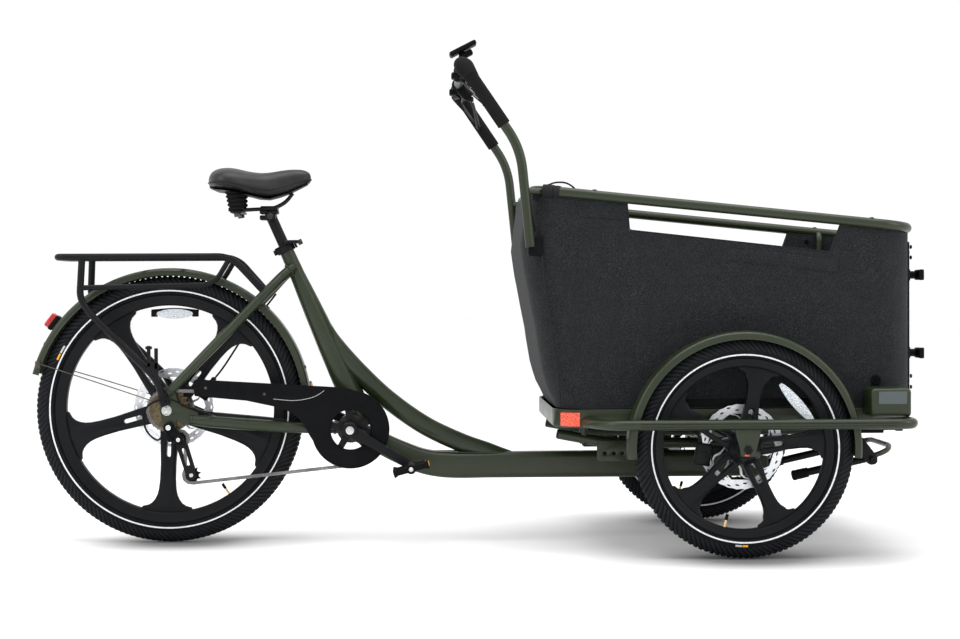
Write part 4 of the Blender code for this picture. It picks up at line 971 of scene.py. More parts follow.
def rear_triangle():
    route, radii = seat_tube_route()
    centre = at(BRACKET[0], 0, BRACKET[1])
    half = Y_AXIS * 0.0352
    shell = rod(centre - half, centre + half, 0.0342, steps=48, edge=0.001)
    lip = rod(centre - half * 1.01, centre - half * 0.93, 0.0352, steps=48)
    lip_left = rod(centre + half * 0.93, centre + half * 1.01, 0.0352, steps=48)
    tube_mesh = tube(route, radii, 36)
    collar = rod(route[0] - seat_up() * 0.012, route[0], 0.0186, steps=36)
    piece("seat_tube_skin", joined(tube_mesh, shell, lip, lip_left, collar), "olive", "rear_frame",
          "seat_tube")
    for side, name in ((-1, "right"), (1, "left")):
        path = stay_route(side)
        stay = tube(path, spread([0.0126] * 4 + [0.0108], len(path)), 24)
        chain_stay_path = smooth([at(0.058, side * 0.0735, 0.3110), at(0.110, side * 0.0740, 0.3050),
                                  at(0.210, side * 0.0630, 0.2960), at(0.300, side * 0.048, 0.2885),
                                  at(0.430, side * 0.028, 0.2835)], 8)
        chain_stay = tube(chain_stay_path, spread([0.0118, 0.0142, 0.0145, 0.0142, 0.0130],
                                                  len(chain_stay_path)), 24)
        outline = [(-0.017, 0.336), (-0.012, 0.364), (-0.006, 0.384), (0.004, 0.392), (0.016, 0.390),
                   (0.024, 0.360), (0.034, 0.344), (0.075, 0.326), (0.075, 0.297), (0.048, 0.299)]
        if side < 0:
            outline += [(0.022, 0.310), (0.019, 0.286), (0.008, 0.279), (-0.004, 0.284), (-0.012, 0.318)]
        else:
            outline += [(0.022, 0.314), (0.006, 0.312), (-0.012, 0.318)]
        slot = circle((0.0, 0.3335), 0.0063, 12)
        dropout = plate([outline, slot], side * 0.0735, 0.0062, bevel=0.0012)
        piece(f"stays_{name}_skin", joined(stay, chain_stay, dropout), "olive", "rear_frame",
              f"stays_{name}")
    welds = []
    for side in (-1, 1):
        path = stay_route(side)
        welds.append(weld(ring_points(path[3], path[6] - path[0], 0.0130, 1.15)))
        welds.append(weld(ring_points(at(0.062, side * 0.0735, 0.311), Vector((1, 0, -0.1)), 0.0125)))
        welds.append(weld(ring_points(at(0.412, side * 0.0300, 0.2840), Vector((1, 0, 0)), 0.0135)))
        welds.append(weld(ring_points(at(0.010, side * 0.0735, 0.382), path[-1] - path[-6], 0.0112)))
    low_bridge = rod(at(0.350, -0.042, 0.2865), at(0.350, 0.042, 0.2865), 0.0080)
    piece("rear_triangle_welds", joined(*welds), "olive", "rear_frame")
    piece("stay_bridge", low_bridge, "olive", "rear_frame")


def rounded_section(half_width, half_height, corner, steps=6):
    outline = []
    for sx, sz, first in ((1, 1, 0), (-1, 1, 90), (-1, -1, 180), (1, -1, 270)):
        outline += arc((sx * (half_width - corner), sz * (half_height - corner)), corner,
                       first, first + 90, steps)
    return outline


def beam():
    """The low beam, and the curved step-through tube that runs into it."""
    route = smooth([at(0.452, 0, 0.281), at(0.511, 0, 0.252), at(0.574, 0, 0.221),
                    at(0.636, 0, 0.197), at(0.705, 0, BEAM_Z), at(0.80, 0, BEAM_Z)], 8)
    route += [at(1.10, 0, BEAM_Z), at(1.40, 0, BEAM_Z), at(1.498, 0, BEAM_Z), at(1.500, 0, BEAM_Z)]
    section = rounded_section(0.0300, 0.0325, 0.0150)
    rings = []
    for i, point in enumerate(route):
        before = route[max(0, i - 1)]
        after = route[min(len(route) - 1, i + 1)]
        ahead = (after - before).normalized()
        over = ahead.cross(Y_AXIS).normalized() * -1
        size = min(1.0, 0.74 + 0.26 * i / 30)
        if i == len(route) - 1:
            size = 0.94
        rings.append([point + Y_AXIS * u * size + over * v * size for u, v in section])
    kingpin = rod(at(WHEELBASE, 0, BEAM_Z), at(WHEELBASE, 0, 0.289), 0.0150, steps=32)
    piece("beam_skin", joined(loft(rings), kingpin), "olive", "rear_frame", "main_beam")
    points = [at(0.352, 0, 0.600), at(0.384, 0, 0.540), at(0.413, 0, 0.490), at(0.477, 0, 0.417),
              at(0.547, 0, 0.351), at(0.634, 0, 0.289), at(0.720, 0, 0.247), at(0.790, 0, 0.222),
              at(0.870, 0, 0.197)]
    curve = smooth(points, 8)
    radii = spread([0.012, 0.018, 0.0225, 0.0235, 0.024, 0.024, 0.024, 0.0235, 0.018], len(curve))
    piece("curved_tube_skin", tube(curve, radii, 32), "olive", "rear_frame", "curved_tube")
    seams = []
    for side in (-1, 1):
        line = [at(0.352, side * 0.012, 0.596), at(0.372, side * 0.0215, 0.5480),
                at(0.396, side * 0.0235, 0.4980), at(0.428, side * 0.0225, 0.4430),
                at(0.446, side * 0.0200, 0.4100)]
        seams.append(tube(smooth(line, 12), 0.0020, 8))
        line = [at(0.650, side * 0.0215, 0.2220), at(0.740, side * 0.0235, 0.2205),
                at(0.820, side * 0.0235, 0.2185), at(0.868, side * 0.012, 0.2175)]
        seams.append(tube(smooth(line, 12), 0.0018, 8))
    seams.append(weld(ring_points(at(0.474, 0, 0.2715), Vector((1, 0, -0.55)), 0.0262)))
    piece("beam_welds", joined(*seams), "olive", "rear_frame")


# ---- rack ----
def rack_route():
    return bent([at(-0.248, -0.070, RACK_Z), at(0.160, -0.070, RACK_Z), at(0.240, -0.0430, 0.624)],
                0.035, 10)


def rack():
    right = rack_route()
    corner = bent([right[1], at(-0.2685, -0.070, RACK_Z), at(-0.2685, 0, RACK_Z)], 0.024, 10)[1:-1]
    half = list(reversed(right))[:-1] + corner
    deck = tube(half + list(reversed(mirrored(half))), 0.0086, 20)
    bars = [rod(at(x, -0.069, RACK_Z), at(x, 0.069, RACK_Z), 0.0062)
            for x in (-0.175, -0.070, 0.035, 0.130)]
    piece("rack_deck_skin", joined(deck, *bars), "black", "rear_frame", "rack_deck")
    for side, name in ((-1, "right"), (1, "left")):
        leg = tube(bent([at(-0.206, side * 0.070, 0.7085), at(-0.211, side * 0.076, 0.612),
                         at(-0.188, side * 0.080, 0.576), at(-0.020, side * 0.0895, 0.409),
                         at(-0.004, side * 0.0895, 0.352)], 0.028, 10), 0.0086, 20)
        bar = tube(bent([at(-0.212, side * 0.0745, 0.637), at(0.118, side * 0.072, 0.643),
                         at(0.155, side * 0.069, 0.706)], 0.034, 10), 0.0066, 16)
        foot = slab(at(-0.0045, side * 0.0890, 0.3600), (0.022, 0.008, 0.030),
                    Matrix.Rotation(math.radians(-20), 4, "Y"), bevel=0.002)
        piece(f"rack_side_{name}_skin", joined(leg, bar, foot), "black", "rear_frame", f"rack_side_{name}")
    prongs = []
    for x, top in ((-0.040, 0.494), (-0.022, 0.488)):
        prongs.append(slab(at(x, -0.0960, top - 0.026), (0.009, 0.0050, 0.052), bevel=0.0012))
    prongs.append(slab(at(-0.031, -0.0960, 0.4380), (0.028, 0.0050, 0.030), bevel=0.0012))
    prongs.append(slab(at(-0.040, -0.0960, 0.4890), (0.016, 0.0052, 0.007), bevel=0.0010))
    prongs.append(tube([at(-0.031, -0.0960, 0.440), at(-0.012, -0.0930, 0.385)], 0.0045, 12))
    piece("rack_bracket", joined(*prongs), "black", "rear_frame")


# ---- drive ----
def sprocket(centre, teeth, y, thickness, holes, bevel=0.0):
    """A toothed ring; teeth stand half above the pitch circle."""
    pitch = teeth * LINK / math.tau
    outline = []
    for i in range(teeth):
        for share, lift in ((0.0, -0.0030), (0.22, -0.0012), (0.38, 0.0034), (0.52, 0.0034),
                            (0.68, -0.0012)):
            a = math.tau * (i + share) / teeth
            outline.append((centre[0] + (pitch + lift) * math.cos(a),
                            centre[1] + (pitch + lift) * math.sin(a)))
    return plate([outline, *holes], y, thickness, bevel)


def cassette():
    axle = (0.0, REAR_WHEEL["outer"])
    meshes = []
    for teeth, y in ((26, -0.0472), (25, -0.0506), (24, -0.0560), (20, -0.0588), (17, -0.0608),
                     (14, -0.0628)):
        pitch = teeth * LINK / math.tau
        holes = [circle(axle, 0.0140, 20)]
        if teeth > 18:
            for k in range(8):
                low, high = k * 45 + 8, k * 45 + 37
                holes.append(arc(axle, pitch - 0.0100, low, high, 4)
                             + arc(axle, 0.0220, high - 3, low + 3, 3))
        meshes.append(sprocket(axle, teeth, y, 0.0016, holes))
    piece("cassette_sprockets", joined(*meshes), "bronze", "cassette", "cassette")
    centre = at(0, 0, REAR_WHEEL["outer"])
    core = lathe([(0.0066, -0.0460), (0.0150, -0.0460), (0.0150, -0.0632), (0.0130, -0.0644),
                  (0.0066, -0.0644)], centre, Y_AXIS, 24)
    piece("cassette_core", core, "dark_steel", "cassette")


def rear_axle():
    centre = at(0, 0, REAR_WHEEL["outer"])
    rod_mesh = lathe([(0.0040, -0.0890), (0.0058, -0.0882), (0.0058, 0.0882), (0.0040, 0.0890)], centre,
                     Y_AXIS, 24)
    parts = [rod_mesh]
    for side in (-1, 1):
        out = Y_AXIS * side
        parts.append(nut(centre + out * 0.0768, out, 0.0108, 0.0080))
        parts.append(lathe([(0.0075, 0), (0.0125, 0), (0.0125, 0.0008), (0.0075, 0.0008)],
                           centre + out * 0.0767, out, 24))
        parts.append(lathe([(0.0062, 0), (0.0105, 0), (0.0105, 0.0050), (0.0062, 0.0056)],
                           centre + out * 0.0646, out, 24))
    piece("rear_axle_steel", joined(*parts), "steel", "rear_frame", "rear_axle")


def chain_line():
    pitches = [teeth * LINK / math.tau for teeth in (44, 24, 10)]
    route = arc(BRACKET, pitches[0], -82, 95, 60)
    route += arc((0.0, REAR_WHEEL["outer"]), pitches[1], 96, 262, 40)
    route += arc(UPPER_JOCKEY, pitches[2], 80, -50, 16)
    route += arc(LOWER_JOCKEY, pitches[2], 140, 276, 16)
    return route + [route[0]]


def along(route, count):
    """Evenly spaced points on a polyline of (x, z), as many as count."""
    lengths = [math.dist(a, b) for a, b in zip(route, route[1:])]
    total = sum(lengths)
    points, i, used = [], 0, 0.0
    for k in range(count):
        want = total * k / count
        while used + lengths[i] < want:
            used += lengths[i]
            i += 1
        share = (want - used) / lengths[i]
        a, b = route[i], route[i + 1]
        points.append((a[0] + (b[0] - a[0]) * share, a[1] + (b[1] - a[1]) * share))
    return points


def chain():
    """Roller chain: rollers, and alternate inner and outer plates."""
    route = chain_line()
    total = sum(math.dist(a, b) for a, b in zip(route, route[1:]))
    count = 2 * round(total / LINK / 2)
    points = along(route, count)
    shape = bmesh.new()

    def side_plate(a, b, y):
        run = math.atan2(b[1] - a[1], b[0] - a[0])
        outline = []
        for centre, first in ((a, 90), (b, -90)):
            for k in range(5):
                angle = run + math.radians(first + 45 * k)
                outline.append((centre[0] + 0.0040 * math.cos(angle), centre[1] + 0.0040 * math.sin(angle)))
        low = [shape.verts.new(at(x, y - 0.0005, z)) for x, z in outline]
        high = [shape.verts.new(at(x, y + 0.0005, z)) for x, z in outline]
        shape.faces.new(low)
        shape.faces.new(reversed(high))
        for k in range(len(outline)):
            j = (k + 1) % len(outline)
            shape.faces.new((low[j], low[k], high[k], high[j]))

    for i, a in enumerate(points):
        b = points[(i + 1) % count]
        gap = 0.0020 if i % 2 else 0.0031
        for side in (-1, 1):
            side_plate(a, b, CHAIN_Y + side * gap)
    mesh = from_bmesh(shape)
    pins = [lathe([(0.0016, -0.0037), (0.0016, -0.0014), (0.0033, -0.0014), (0.0033, 0.0014),
                   (0.0016, 0.0014), (0.0016, 0.0037)], at(x, CHAIN_Y, z), Y_AXIS, 8) for x, z in points]
    piece("chain_links", joined(mesh, *pins), "chain", "rear_frame", "chain")


def crank_arm(side, degrees):
    """A tapered arm from the axle boss to the pedal's eye."""
    centre = at(BRACKET[0], 0, BRACKET[1])
    out = Y_AXIS * side
    rings = []
    for share, width, deep in ((0.0, 0.0175, 0.0070), (0.10, 0.0160, 0.0070), (0.30, 0.0125, 0.0062),
                               (0.60, 0.0110, 0.0056), (0.88, 0.0118, 0.0056), (1.0, 0.0125, 0.0060)):
        ring = [Vector((share * CRANK_LENGTH, side * (0.0905 - 0.003 * (1 - share)) + v, u))
                for u, v in rounded_section(width, deep, deep * 0.7, 4)]
        rings.append(ring)
    arm = moved(turned(loft(rings), -degrees), centre)
    turn = Matrix.Rotation(math.radians(-degrees), 3, "Y")
    eye = centre + turn @ Vector((CRANK_LENGTH, 0, 0))
    boss = rod(centre + out * 0.0700, centre + out * 0.0985, 0.0195, steps=36, edge=0.002)
    end = rod(eye + out * 0.0845, eye + out * 0.0972, 0.0138, steps=28, edge=0.002)
    spindle = rod(eye + out * 0.0850, eye + out * 0.1895, 0.0055)
    cap = lathe([(0.0105, 0), (0.0100, 0.0016), (0.0070, 0.0020), (0.0062, 0.0004), (0.0002, 0.0004)],
                centre + out * 0.0984, out, 24)
    flats = nut(eye + out * 0.0972, out, 0.0085, 0.0045)
    return [arm, boss, end], [spindle, flats, cap]


def crankset():
    centre = at(BRACKET[0], 0, BRACKET[1])
    right, right_steel = crank_arm(-1, CRANK_ANGLE)
    left, left_steel = crank_arm(1, CRANK_ANGLE + 180)
    spider = []
    for i in range(5):
        arm = flat([[(0.012, 0.0095), (0.040, 0.0070), (0.061, 0.0075), (0.065, 0.0040), (0.065, -0.0040),
                     (0.061, -0.0075), (0.040, -0.0070), (0.012, -0.0095)]], 0.0060, 0.0012)
        spider.append(moved(turned(arm, -(i * 72 + 24)), centre + Y_AXIS * -0.0615))
    spindle = rod(centre - Y_AXIS * 0.097, centre + Y_AXIS * 0.097, 0.0118)
    carrier = rod(centre - Y_AXIS * 0.0740, centre - Y_AXIS * 0.0500, 0.0200, steps=36)
    piece("crankset_arms", joined(spindle, carrier, *right, *left, *spider), "black",
          "crankset", "crankset")
    bolts = []
    for i in range(5):
        a = math.radians(i * 72 + 24)
        base = centre + Vector((0.0600 * math.cos(a), -0.0645, 0.0600 * math.sin(a)))
        bolts.append(bolt(base, -Y_AXIS, 0.0040, 0.0020))
    piece("crankset_steel", joined(*right_steel, *left_steel, *bolts), "steel", "crankset")
    windows = []
    for i in range(5):
        low, high = i * 72 + 24 + 10, i * 72 + 24 + 62
        windows.append(arc(BRACKET, 0.0690, low, high, 8) + arc(BRACKET, 0.0560, high, low, 6))
    ring = sprocket(BRACKET, 44, CHAIN_Y, 0.0022, [circle(BRACKET, 0.0520, 40), *windows])
    tabs = []
    for i in range(5):
        tab = flat([[(0.048, 0.006), (0.060, 0.009), (0.060, -0.009), (0.048, -0.006)]], 0.0022)
        tabs.append(moved(turned(tab, -(i * 72 + 24)), centre + Y_AXIS * CHAIN_Y))
    piece("chainring_teeth", joined(ring, *tabs), "dark_steel", "crankset", "chainring")
    for side, name, degrees in ((-1, "right", CRANK_ANGLE), (1, "left", CRANK_ANGLE + 180)):
        turn = Matrix.Rotation(math.radians(-degrees), 3, "Y")
        pedal(name, centre + turn @ Vector((CRANK_LENGTH, 0, 0)) + Y_AXIS * side * 0.1450)


def pedal(name, middle):
    """A cage with a bearing barrel, toothed edges and two reflectors."""
    parts = [lathe([(0.0064, -0.043), (0.0105, -0.043), (0.0125, -0.036), (0.0110, 0.0), (0.0125, 0.036),
                    (0.0105, 0.043), (0.0064, 0.043)], Vector(), Y_AXIS, 24, cyclic=True)]
    for x in (-0.0395, 0.0395):
        parts.append(slab(Vector((x, 0, 0)), (0.009, 0.085, 0.018), bevel=0.0025))
    for y in (-0.0385, 0.0, 0.0385):
        parts.append(slab(Vector((0, y, 0)), (0.080, 0.007, 0.014), bevel=0.002))
    for y in (-0.020, 0.020):
        parts.append(slab(Vector((0, y, 0)), (0.080, 0.005, 0.010), bevel=0.0015))
    for x in (-0.0415, 0.0415):
        for k in range(9):
            for z in (-0.0092, 0.0092):
                parts.append(slab(Vector((x, -0.036 + 0.009 * k, z)), (0.004, 0.004, 0.003), bevel=0.0008,
                                  segments=1))
    mesh = moved(turned(joined(*parts), -15), middle)
    body = f"pedal_{name}"
    piece(f"pedal_{name}_cage", mesh, "plastic", body, f"pedal_{name}")
    lenses = [slab(Vector((x, y, 0)), (0.0016, 0.026, 0.010), bevel=0.0006)
              for x in (-0.0442, 0.0442) for y in (-0.018, 0.018)]
    piece(f"pedal_{name}_reflectors", moved(turned(joined(*lenses), -15), middle), "amber", body)


def chain_guard():
    outline = [(0.070, 0.369), (0.195, 0.357), (0.269, 0.341), (0.300, 0.330), (0.322, 0.315),
               (0.338, 0.297), (0.350, 0.272)]
    outline += arc(BRACKET, 0.0960, 196, 434, 56)
    outline += [(0.448, 0.3835), (0.425, 0.3870), (0.400, 0.3890), (0.250, 0.398), (0.074, 0.4088),
                (0.068, 0.407), (0.066, 0.402), (0.068, 0.371)]
    hole = circle(BRACKET, 0.050, 56)
    body = plate([outline, hole], -0.0670, 0.0040, 0.0008)
    rim_line = [at(x, -0.0688, z) for x, z in circle(BRACKET, 0.0512, 56)]
    edge = [at(x, -0.0690, z) for x, z in arc(BRACKET, 0.0935, 205, 425, 56)]
    piece("chain_guard_cover", joined(body, tube(rim_line, 0.0014, 8, cyclic=True), tube(edge, 0.0010, 8)),
          "plastic", "rear_frame", "chain_guard")
    line = smooth([at(0.262, -0.0693, 0.3600), at(0.315, -0.0693, 0.3560), at(0.360, -0.0693, 0.3640),
                   at(0.388, -0.0693, 0.3800)], 10)
    piece("chain_guard_seam", tube(line, 0.0006, 6), "pale_mark", "rear_frame")
    screws = [bolt(at(x, -0.0689, z), -Y_AXIS, 0.0035, 0.0016) for x, z in ((0.095, 0.388), (0.240, 0.372))]
    piece("chain_guard_screws", joined(*screws), "dark_steel", "rear_frame")


def derailleur():
    y = -0.0865
    hanger, upper, lower = (0.006, 0.292), UPPER_JOCKEY, LOWER_JOCKEY
    parts = [rod(at(hanger[0], -0.0935, hanger[1]), at(hanger[0], -0.0768, hanger[1]), 0.0128, steps=28,
                 edge=0.002),
             rod(at(upper[0], -0.0940, upper[1]), at(upper[0], -0.0655, upper[1]), 0.0120, steps=28,
                 edge=0.002)]
    run = at(upper[0], y, upper[1]) - at(hanger[0], y, hanger[1])
    turn = run.to_track_quat("X", "Z").to_matrix().to_4x4()
    middle = at((hanger[0] + upper[0]) / 2, y, (hanger[1] + upper[1]) / 2)
    parts.append(slab(middle, (run.length + 0.010, 0.011, 0.026), turn, bevel=0.004))
    parts.append(slab(middle + Vector((-0.012, -0.004, -0.010)), (0.022, 0.010, 0.012), turn, bevel=0.003))
    piece("derailleur_link", joined(*parts), "plastic", "rear_frame", "derailleur_body")
    details = [bolt(at(hanger[0], -0.0934, hanger[1]), -Y_AXIS, 0.0065, 0.0030),
               bolt(at(upper[0], -0.0939, upper[1]), -Y_AXIS, 0.0050, 0.0024),
               bolt(at(upper[0], -0.0652, upper[1]) + Vector((0, 0, 0)), Y_AXIS, 0.004, 0.001),
               bolt(at(lower[0], -0.0655, lower[1]), -Y_AXIS, 0.0048, 0.0022)]
    piece("derailleur_bolts", joined(*details), "steel", "rear_frame")
    angle = math.degrees(math.atan2(lower[1] - upper[1], lower[0] - upper[0]))
    outline = (arc(lower, 0.0125, angle - 90, angle + 90, 12)
               + arc(upper, 0.0135, angle + 90, angle + 270, 12))
    waist = ((upper[0] + lower[0]) / 2, (upper[1] + lower[1]) / 2)
    window = [(waist[0] + u * math.cos(math.radians(angle)) - v * math.sin(math.radians(angle)),
               waist[1] + u * math.sin(math.radians(angle)) + v * math.cos(math.radians(angle)))
              for u, v in arc((0.018, 0), 0.005, -90, 90, 6) + arc((-0.018, 0), 0.005, 90, 270, 6)]
    plates = [plate([outline, window], level, 0.0016) for level in (-0.0642, -0.0478)]
    pins = [rod(at(x, -0.0642, z), at(x, -0.0478, z), 0.0030) for x, z in (upper, lower)]
    piece("derailleur_cage_plates", joined(*plates, *pins), "black", "rear_frame", "derailleur_cage")
    for name, centre in (("upper", upper), ("lower", lower)):
        holes = [circle(centre, 0.0034, 12)]
        holes += [circle((centre[0] + 0.0095 * math.cos(a), centre[1] + 0.0095 * math.sin(a)), 0.0020, 8)
                  for a in [math.tau * k / 5 for k in range(5)]]
        piece(f"{name}_jockey_teeth", sprocket(centre, 10, CHAIN_Y, 0.0026, holes), "plastic",
              f"{name}_jockey", f"{name}_jockey")
    route = smooth([at(-0.0045, -0.0880, 0.2785), at(-0.022, -0.0900, 0.262), at(-0.048, -0.0940, 0.288),
                    at(-0.052, -0.0990, 0.330), at(-0.028, -0.1030, 0.356), at(0.014, -0.1030, 0.362),
                    at(0.060, -0.0930, 0.340), at(0.110, -0.0900, 0.3275), at(0.200, -0.0780, 0.3170),
                    at(0.290, -0.0660, 0.3080)], 8)
    half_clip = Vector((0.004, 0, 0))
    clips = [rod(at(x, cy, z) - half_clip, at(x, cy, z) + half_clip, 0.0038, steps=12)
             for x, cy, z in ((0.112, -0.0898, 0.3273), (0.200, -0.0780, 0.3170))]
    piece("derailleur_cable_housing", joined(tube(route, 0.0024, 12), *clips), "foam", "rear_frame",
          "derailleur_cable")


def rear_caliper():
    turn = Matrix.Rotation(math.radians(35), 4, "Y")
    parts = [slab(at(0.078, 0.0557 + s * 0.0078, 0.378), (0.040, 0.0102, 0.044), turn, bevel=0.004)
             for s in (-1, 1)]
    parts.append(slab(at(0.094, 0.0557, 0.394), (0.012, 0.022, 0.034), turn, bevel=0.003))
    parts.append(bolt(at(0.078, 0.0682, 0.378), Y_AXIS, 0.008, 0.0016))
    hose = smooth([at(0.100, 0.058, 0.402), at(0.130, 0.052, 0.440), at(0.190, 0.048, 0.530),
                   at(0.262, 0.034, 0.620)], 8)
    piece("rear_caliper_body", joined(*parts), "black", "rear_frame", "rear_caliper")
    piece("rear_brake_hose", tube(hose, 0.0024, 10), "foam", "rear_frame")


# ---- seat ----
def seat():
    up = seat_up()
    top = at(0.285, 0, 0.743)
    head = top + up * 0.0775
    post = rod(top - up * 0.140, head, 0.0135, steps=36)
    yoke = rod(head - Y_AXIS * 0.030, head + Y_AXIS * 0.030, 0.0135, steps=28, edge=0.002)
    jaws = [slab(head + Vector((-0.004, 0, 0.011)), (0.046, 0.046, 0.010), bevel=0.003),
            slab(head + Vector((-0.010, 0, -0.003)), (0.034, 0.040, 0.012), bevel=0.003)]
    piece("seat_post_tube", joined(post, yoke, *jaws), "black", "seat", "seat_post")
    marks = [bolt(head + Y_AXIS * s * 0.0298, Y_AXIS * s, 0.0075, 0.0030) for s in (-1, 1)]
    piece("seat_post_bolts", joined(*marks), "dark_steel", "seat")
    rails = []
    for side in (-1, 1):
        route = bent([at(0.150, side * 0.030, 0.8290), at(0.262, side * 0.022, 0.8345),
                      at(0.291, side * 0.016, 0.8500), at(0.308, side * 0.012, 0.8720)], 0.014)
        rails.append(tube(route, 0.0036, 12))
    rails.append(slab(at(0.172, 0, 0.8240), (0.030, 0.120, 0.006), bevel=0.0015))
    rails.append(slab(at(0.250, 0, 0.8340), (0.042, 0.052, 0.011), bevel=0.0025))
    piece("saddle_rails", joined(*rails), "black", "seat", "saddle_frame")
    springs = []
    for side in (-1, 1):
        ribs = [(0.0050, 0.0)]
        for k in range(5):
            low = 0.0015 + 0.0104 * k
            wide = 0.0165 + 0.0010 * k
            ribs += [(wide, low), (wide + 0.0034, low + 0.0030), (wide + 0.0034, low + 0.0066),
                     (wide, low + 0.0096)]
        ribs.append((0.0100, 0.0540))
        springs.append(lathe(ribs, at(0.172, side * 0.046, 0.8265), Vector((-0.10, 0, 1)).normalized(), 32))
    piece("saddle_bellows", joined(*springs), "foam", "seat", angle=60)
    knobs = [rod(at(0.175, s * 0.046, 0.8120), at(0.173, s * 0.046, 0.8240), 0.0085, steps=20)
             for s in (-1, 1)]
    piece("saddle_spring_bolts", joined(*knobs), "dark_steel", "seat")


SADDLE = [(0.1005, 0.030, 0.9080, 0.8900), (0.106, 0.068, 0.9220, 0.8830), (0.120, 0.100, 0.9325, 0.8770),
          (0.147, 0.1195, 0.9370, 0.8735), (0.170, 0.1150, 0.9345, 0.8710), (0.198, 0.0980, 0.9275, 0.8650),
          (0.224, 0.0760, 0.9235, 0.8580), (0.250, 0.0560, 0.9245, 0.8560), (0.276, 0.0420, 0.9290, 0.8620),
          (0.304, 0.0330, 0.9325, 0.8720), (0.330, 0.0270, 0.9320, 0.8850), (0.346, 0.0200, 0.9275, 0.8930),
          (0.3545, 0.0090, 0.9180, 0.9000)]


def saddle():
    """A crowned pad with a tucked skirt, a shallow channel and an edge seam."""
    rings = []
    for x, half, top, bottom in SADDLE:
        rim_z = bottom + 0.34 * (top - bottom)
        ring = []
        for i in range(24):
            a = math.tau * i / 24
            c, s = math.cos(a), math.sin(a)
            wide = half * math.copysign(abs(c) ** 0.85, c)
            if s >= 0:
                z = rim_z + (top - rim_z) * s ** 0.72
                channel = 0.0030 * max(0.0, 1 - (wide / 0.018) ** 2) if 0.13 < x < 0.26 else 0.0
                z -= channel
            else:
                z = rim_z - (rim_z - bottom) * abs(s) ** 0.9
                wide *= 0.97
            ring.append(at(x, wide, z))
        rings.append(ring)
    mesh = evaluated(loft(rings), [("SUBSURF", {"levels": 2, "render_levels": 2})])
    cover = piece("saddle_cover", mesh, "saddle", "seat", "saddle", angle=80)
    seam = []
    for side in (-1, 1):
        line = []
        for x, half, top, bottom in SADDLE:
            line.append(at(x, side * (half * 0.992 + 0.0002), bottom + 0.30 * (top - bottom)))
        seam.append(line)
    loop = smooth(seam[0] + list(reversed(seam[1])), 5)
    piece("saddle_seam", tube(loop, 0.0011, 8), "piping", "seat")
    base = []
    for x, half, top, bottom in SADDLE[1:-1]:
        base.append([at(x, half * 0.78 * c, bottom + 0.0020 + 0.0030 * s) for c, s in
                     [(math.cos(math.tau * i / 16), math.sin(math.tau * i / 16)) for i in range(16)]])
    piece("saddle_base", loft(base), "plastic", "seat")


def seat_clamp():
    up = seat_up()
    side_way = Vector((up.z, 0, -up.x))
    middle = at(0.285, 0, 0.743) - up * 0.010
    profile = [(0.0178, -0.0095), (0.0228, -0.0095), (0.0236, -0.0085), (0.0236, 0.0060), (0.0262, 0.0072),
               (0.0262, 0.0092), (0.0178, 0.0098)]
    collar = lathe(profile, middle, up, 40, cyclic=True)
    ears = [slab(middle + side_way * 0.0270 + Y_AXIS * s * 0.0045, (0.018, 0.005, 0.018),
                 up.to_track_quat("Z", "Y").to_matrix().to_4x4(), bevel=0.0015) for s in (-1, 1)]
    end = rod(middle - side_way * 0.020, middle - side_way * 0.031, 0.0068, steps=20)
    piece("seat_collar", joined(collar, end, *ears), "black", "rear_frame", "seat_clamp")
    start = middle + side_way * 0.0400
    route = smooth([start, start + Vector((-0.004, -0.020, 0)), start + Vector((-0.016, -0.036, 0)),
                    start + Vector((-0.034, -0.042, 0))], 8)
    lever = tube(route, spread([0.0055, 0.0048, 0.0042, 0.0034], len(route)), 14)
    barrel = rod(start - up * 0.0065, start + up * 0.0065, 0.0058, steps=20)
    piece("seat_lever", joined(lever, barrel), "black", "seat_clamp_lever", "seat_clamp_lever")


def rear_light():
    """Red lens on a black wedge that sits on the fender."""
    out = Vector((math.cos(math.radians(143)), 0, math.sin(math.radians(143))))
    foot = at(0, 0, REAR_WHEEL["outer"]) + out * 0.3550
    turn = out.to_track_quat("Z", "Y").to_matrix().to_4x4()
    lens = slab(foot + out * 0.0155, (0.030, 0.038, 0.0150), turn, bevel=0.0045, segments=4)
    piece("rear_lamp_lens", lens, "red_lens", "rear_frame", "rear_light")
    base = slab(foot + out * 0.0050, (0.034, 0.040, 0.0100), turn, bevel=0.002)
    piece("rear_lamp_base", base, "plastic", "rear_frame")


# ---- cargo box ----
def rail_height(x):
    slope = (RAIL_FRONT[1] - RAIL_REAR[1]) / (RAIL_FRONT[0] - RAIL_REAR[0])
    return RAIL_REAR[1] + slope * (x - RAIL_REAR[0])


def outline_points(x0, x1, half, corner, spacing=0.030, steps=9):
    """A level rounded rectangle as (x, y), with points along its straight sides too."""
    corners = []
    for cx, cy, first in ((x1 - corner, half - corner, 0), (x0 + corner, half - corner, 90),
                          (x0 + corner, corner - half, 180), (x1 - corner, corner - half, 270)):
        corners.append(arc((cx, cy), corner, first, first + 90, steps))
    points = []
    for i, part in enumerate(corners):
        points += part
        end, start = part[-1], corners[(i + 1) % 4][0]
        count = SIDE_COUNTS[i % 2] if spacing else 0
        for k in range(1, count):
            share = k / count
            points.append((end[0] + (start[0] - end[0]) * share, end[1] + (start[1] - end[1]) * share))
    return points


SIDE_COUNTS = (26, 16)


def bulged(points, front, bulge, half):
    """Pushes the front edge out in a gentle curve."""
    return [(x + bulge * max(0.0, 1 - (y / half) ** 2), y) if x > front - 0.09 else (x, y)
            for x, y in points]


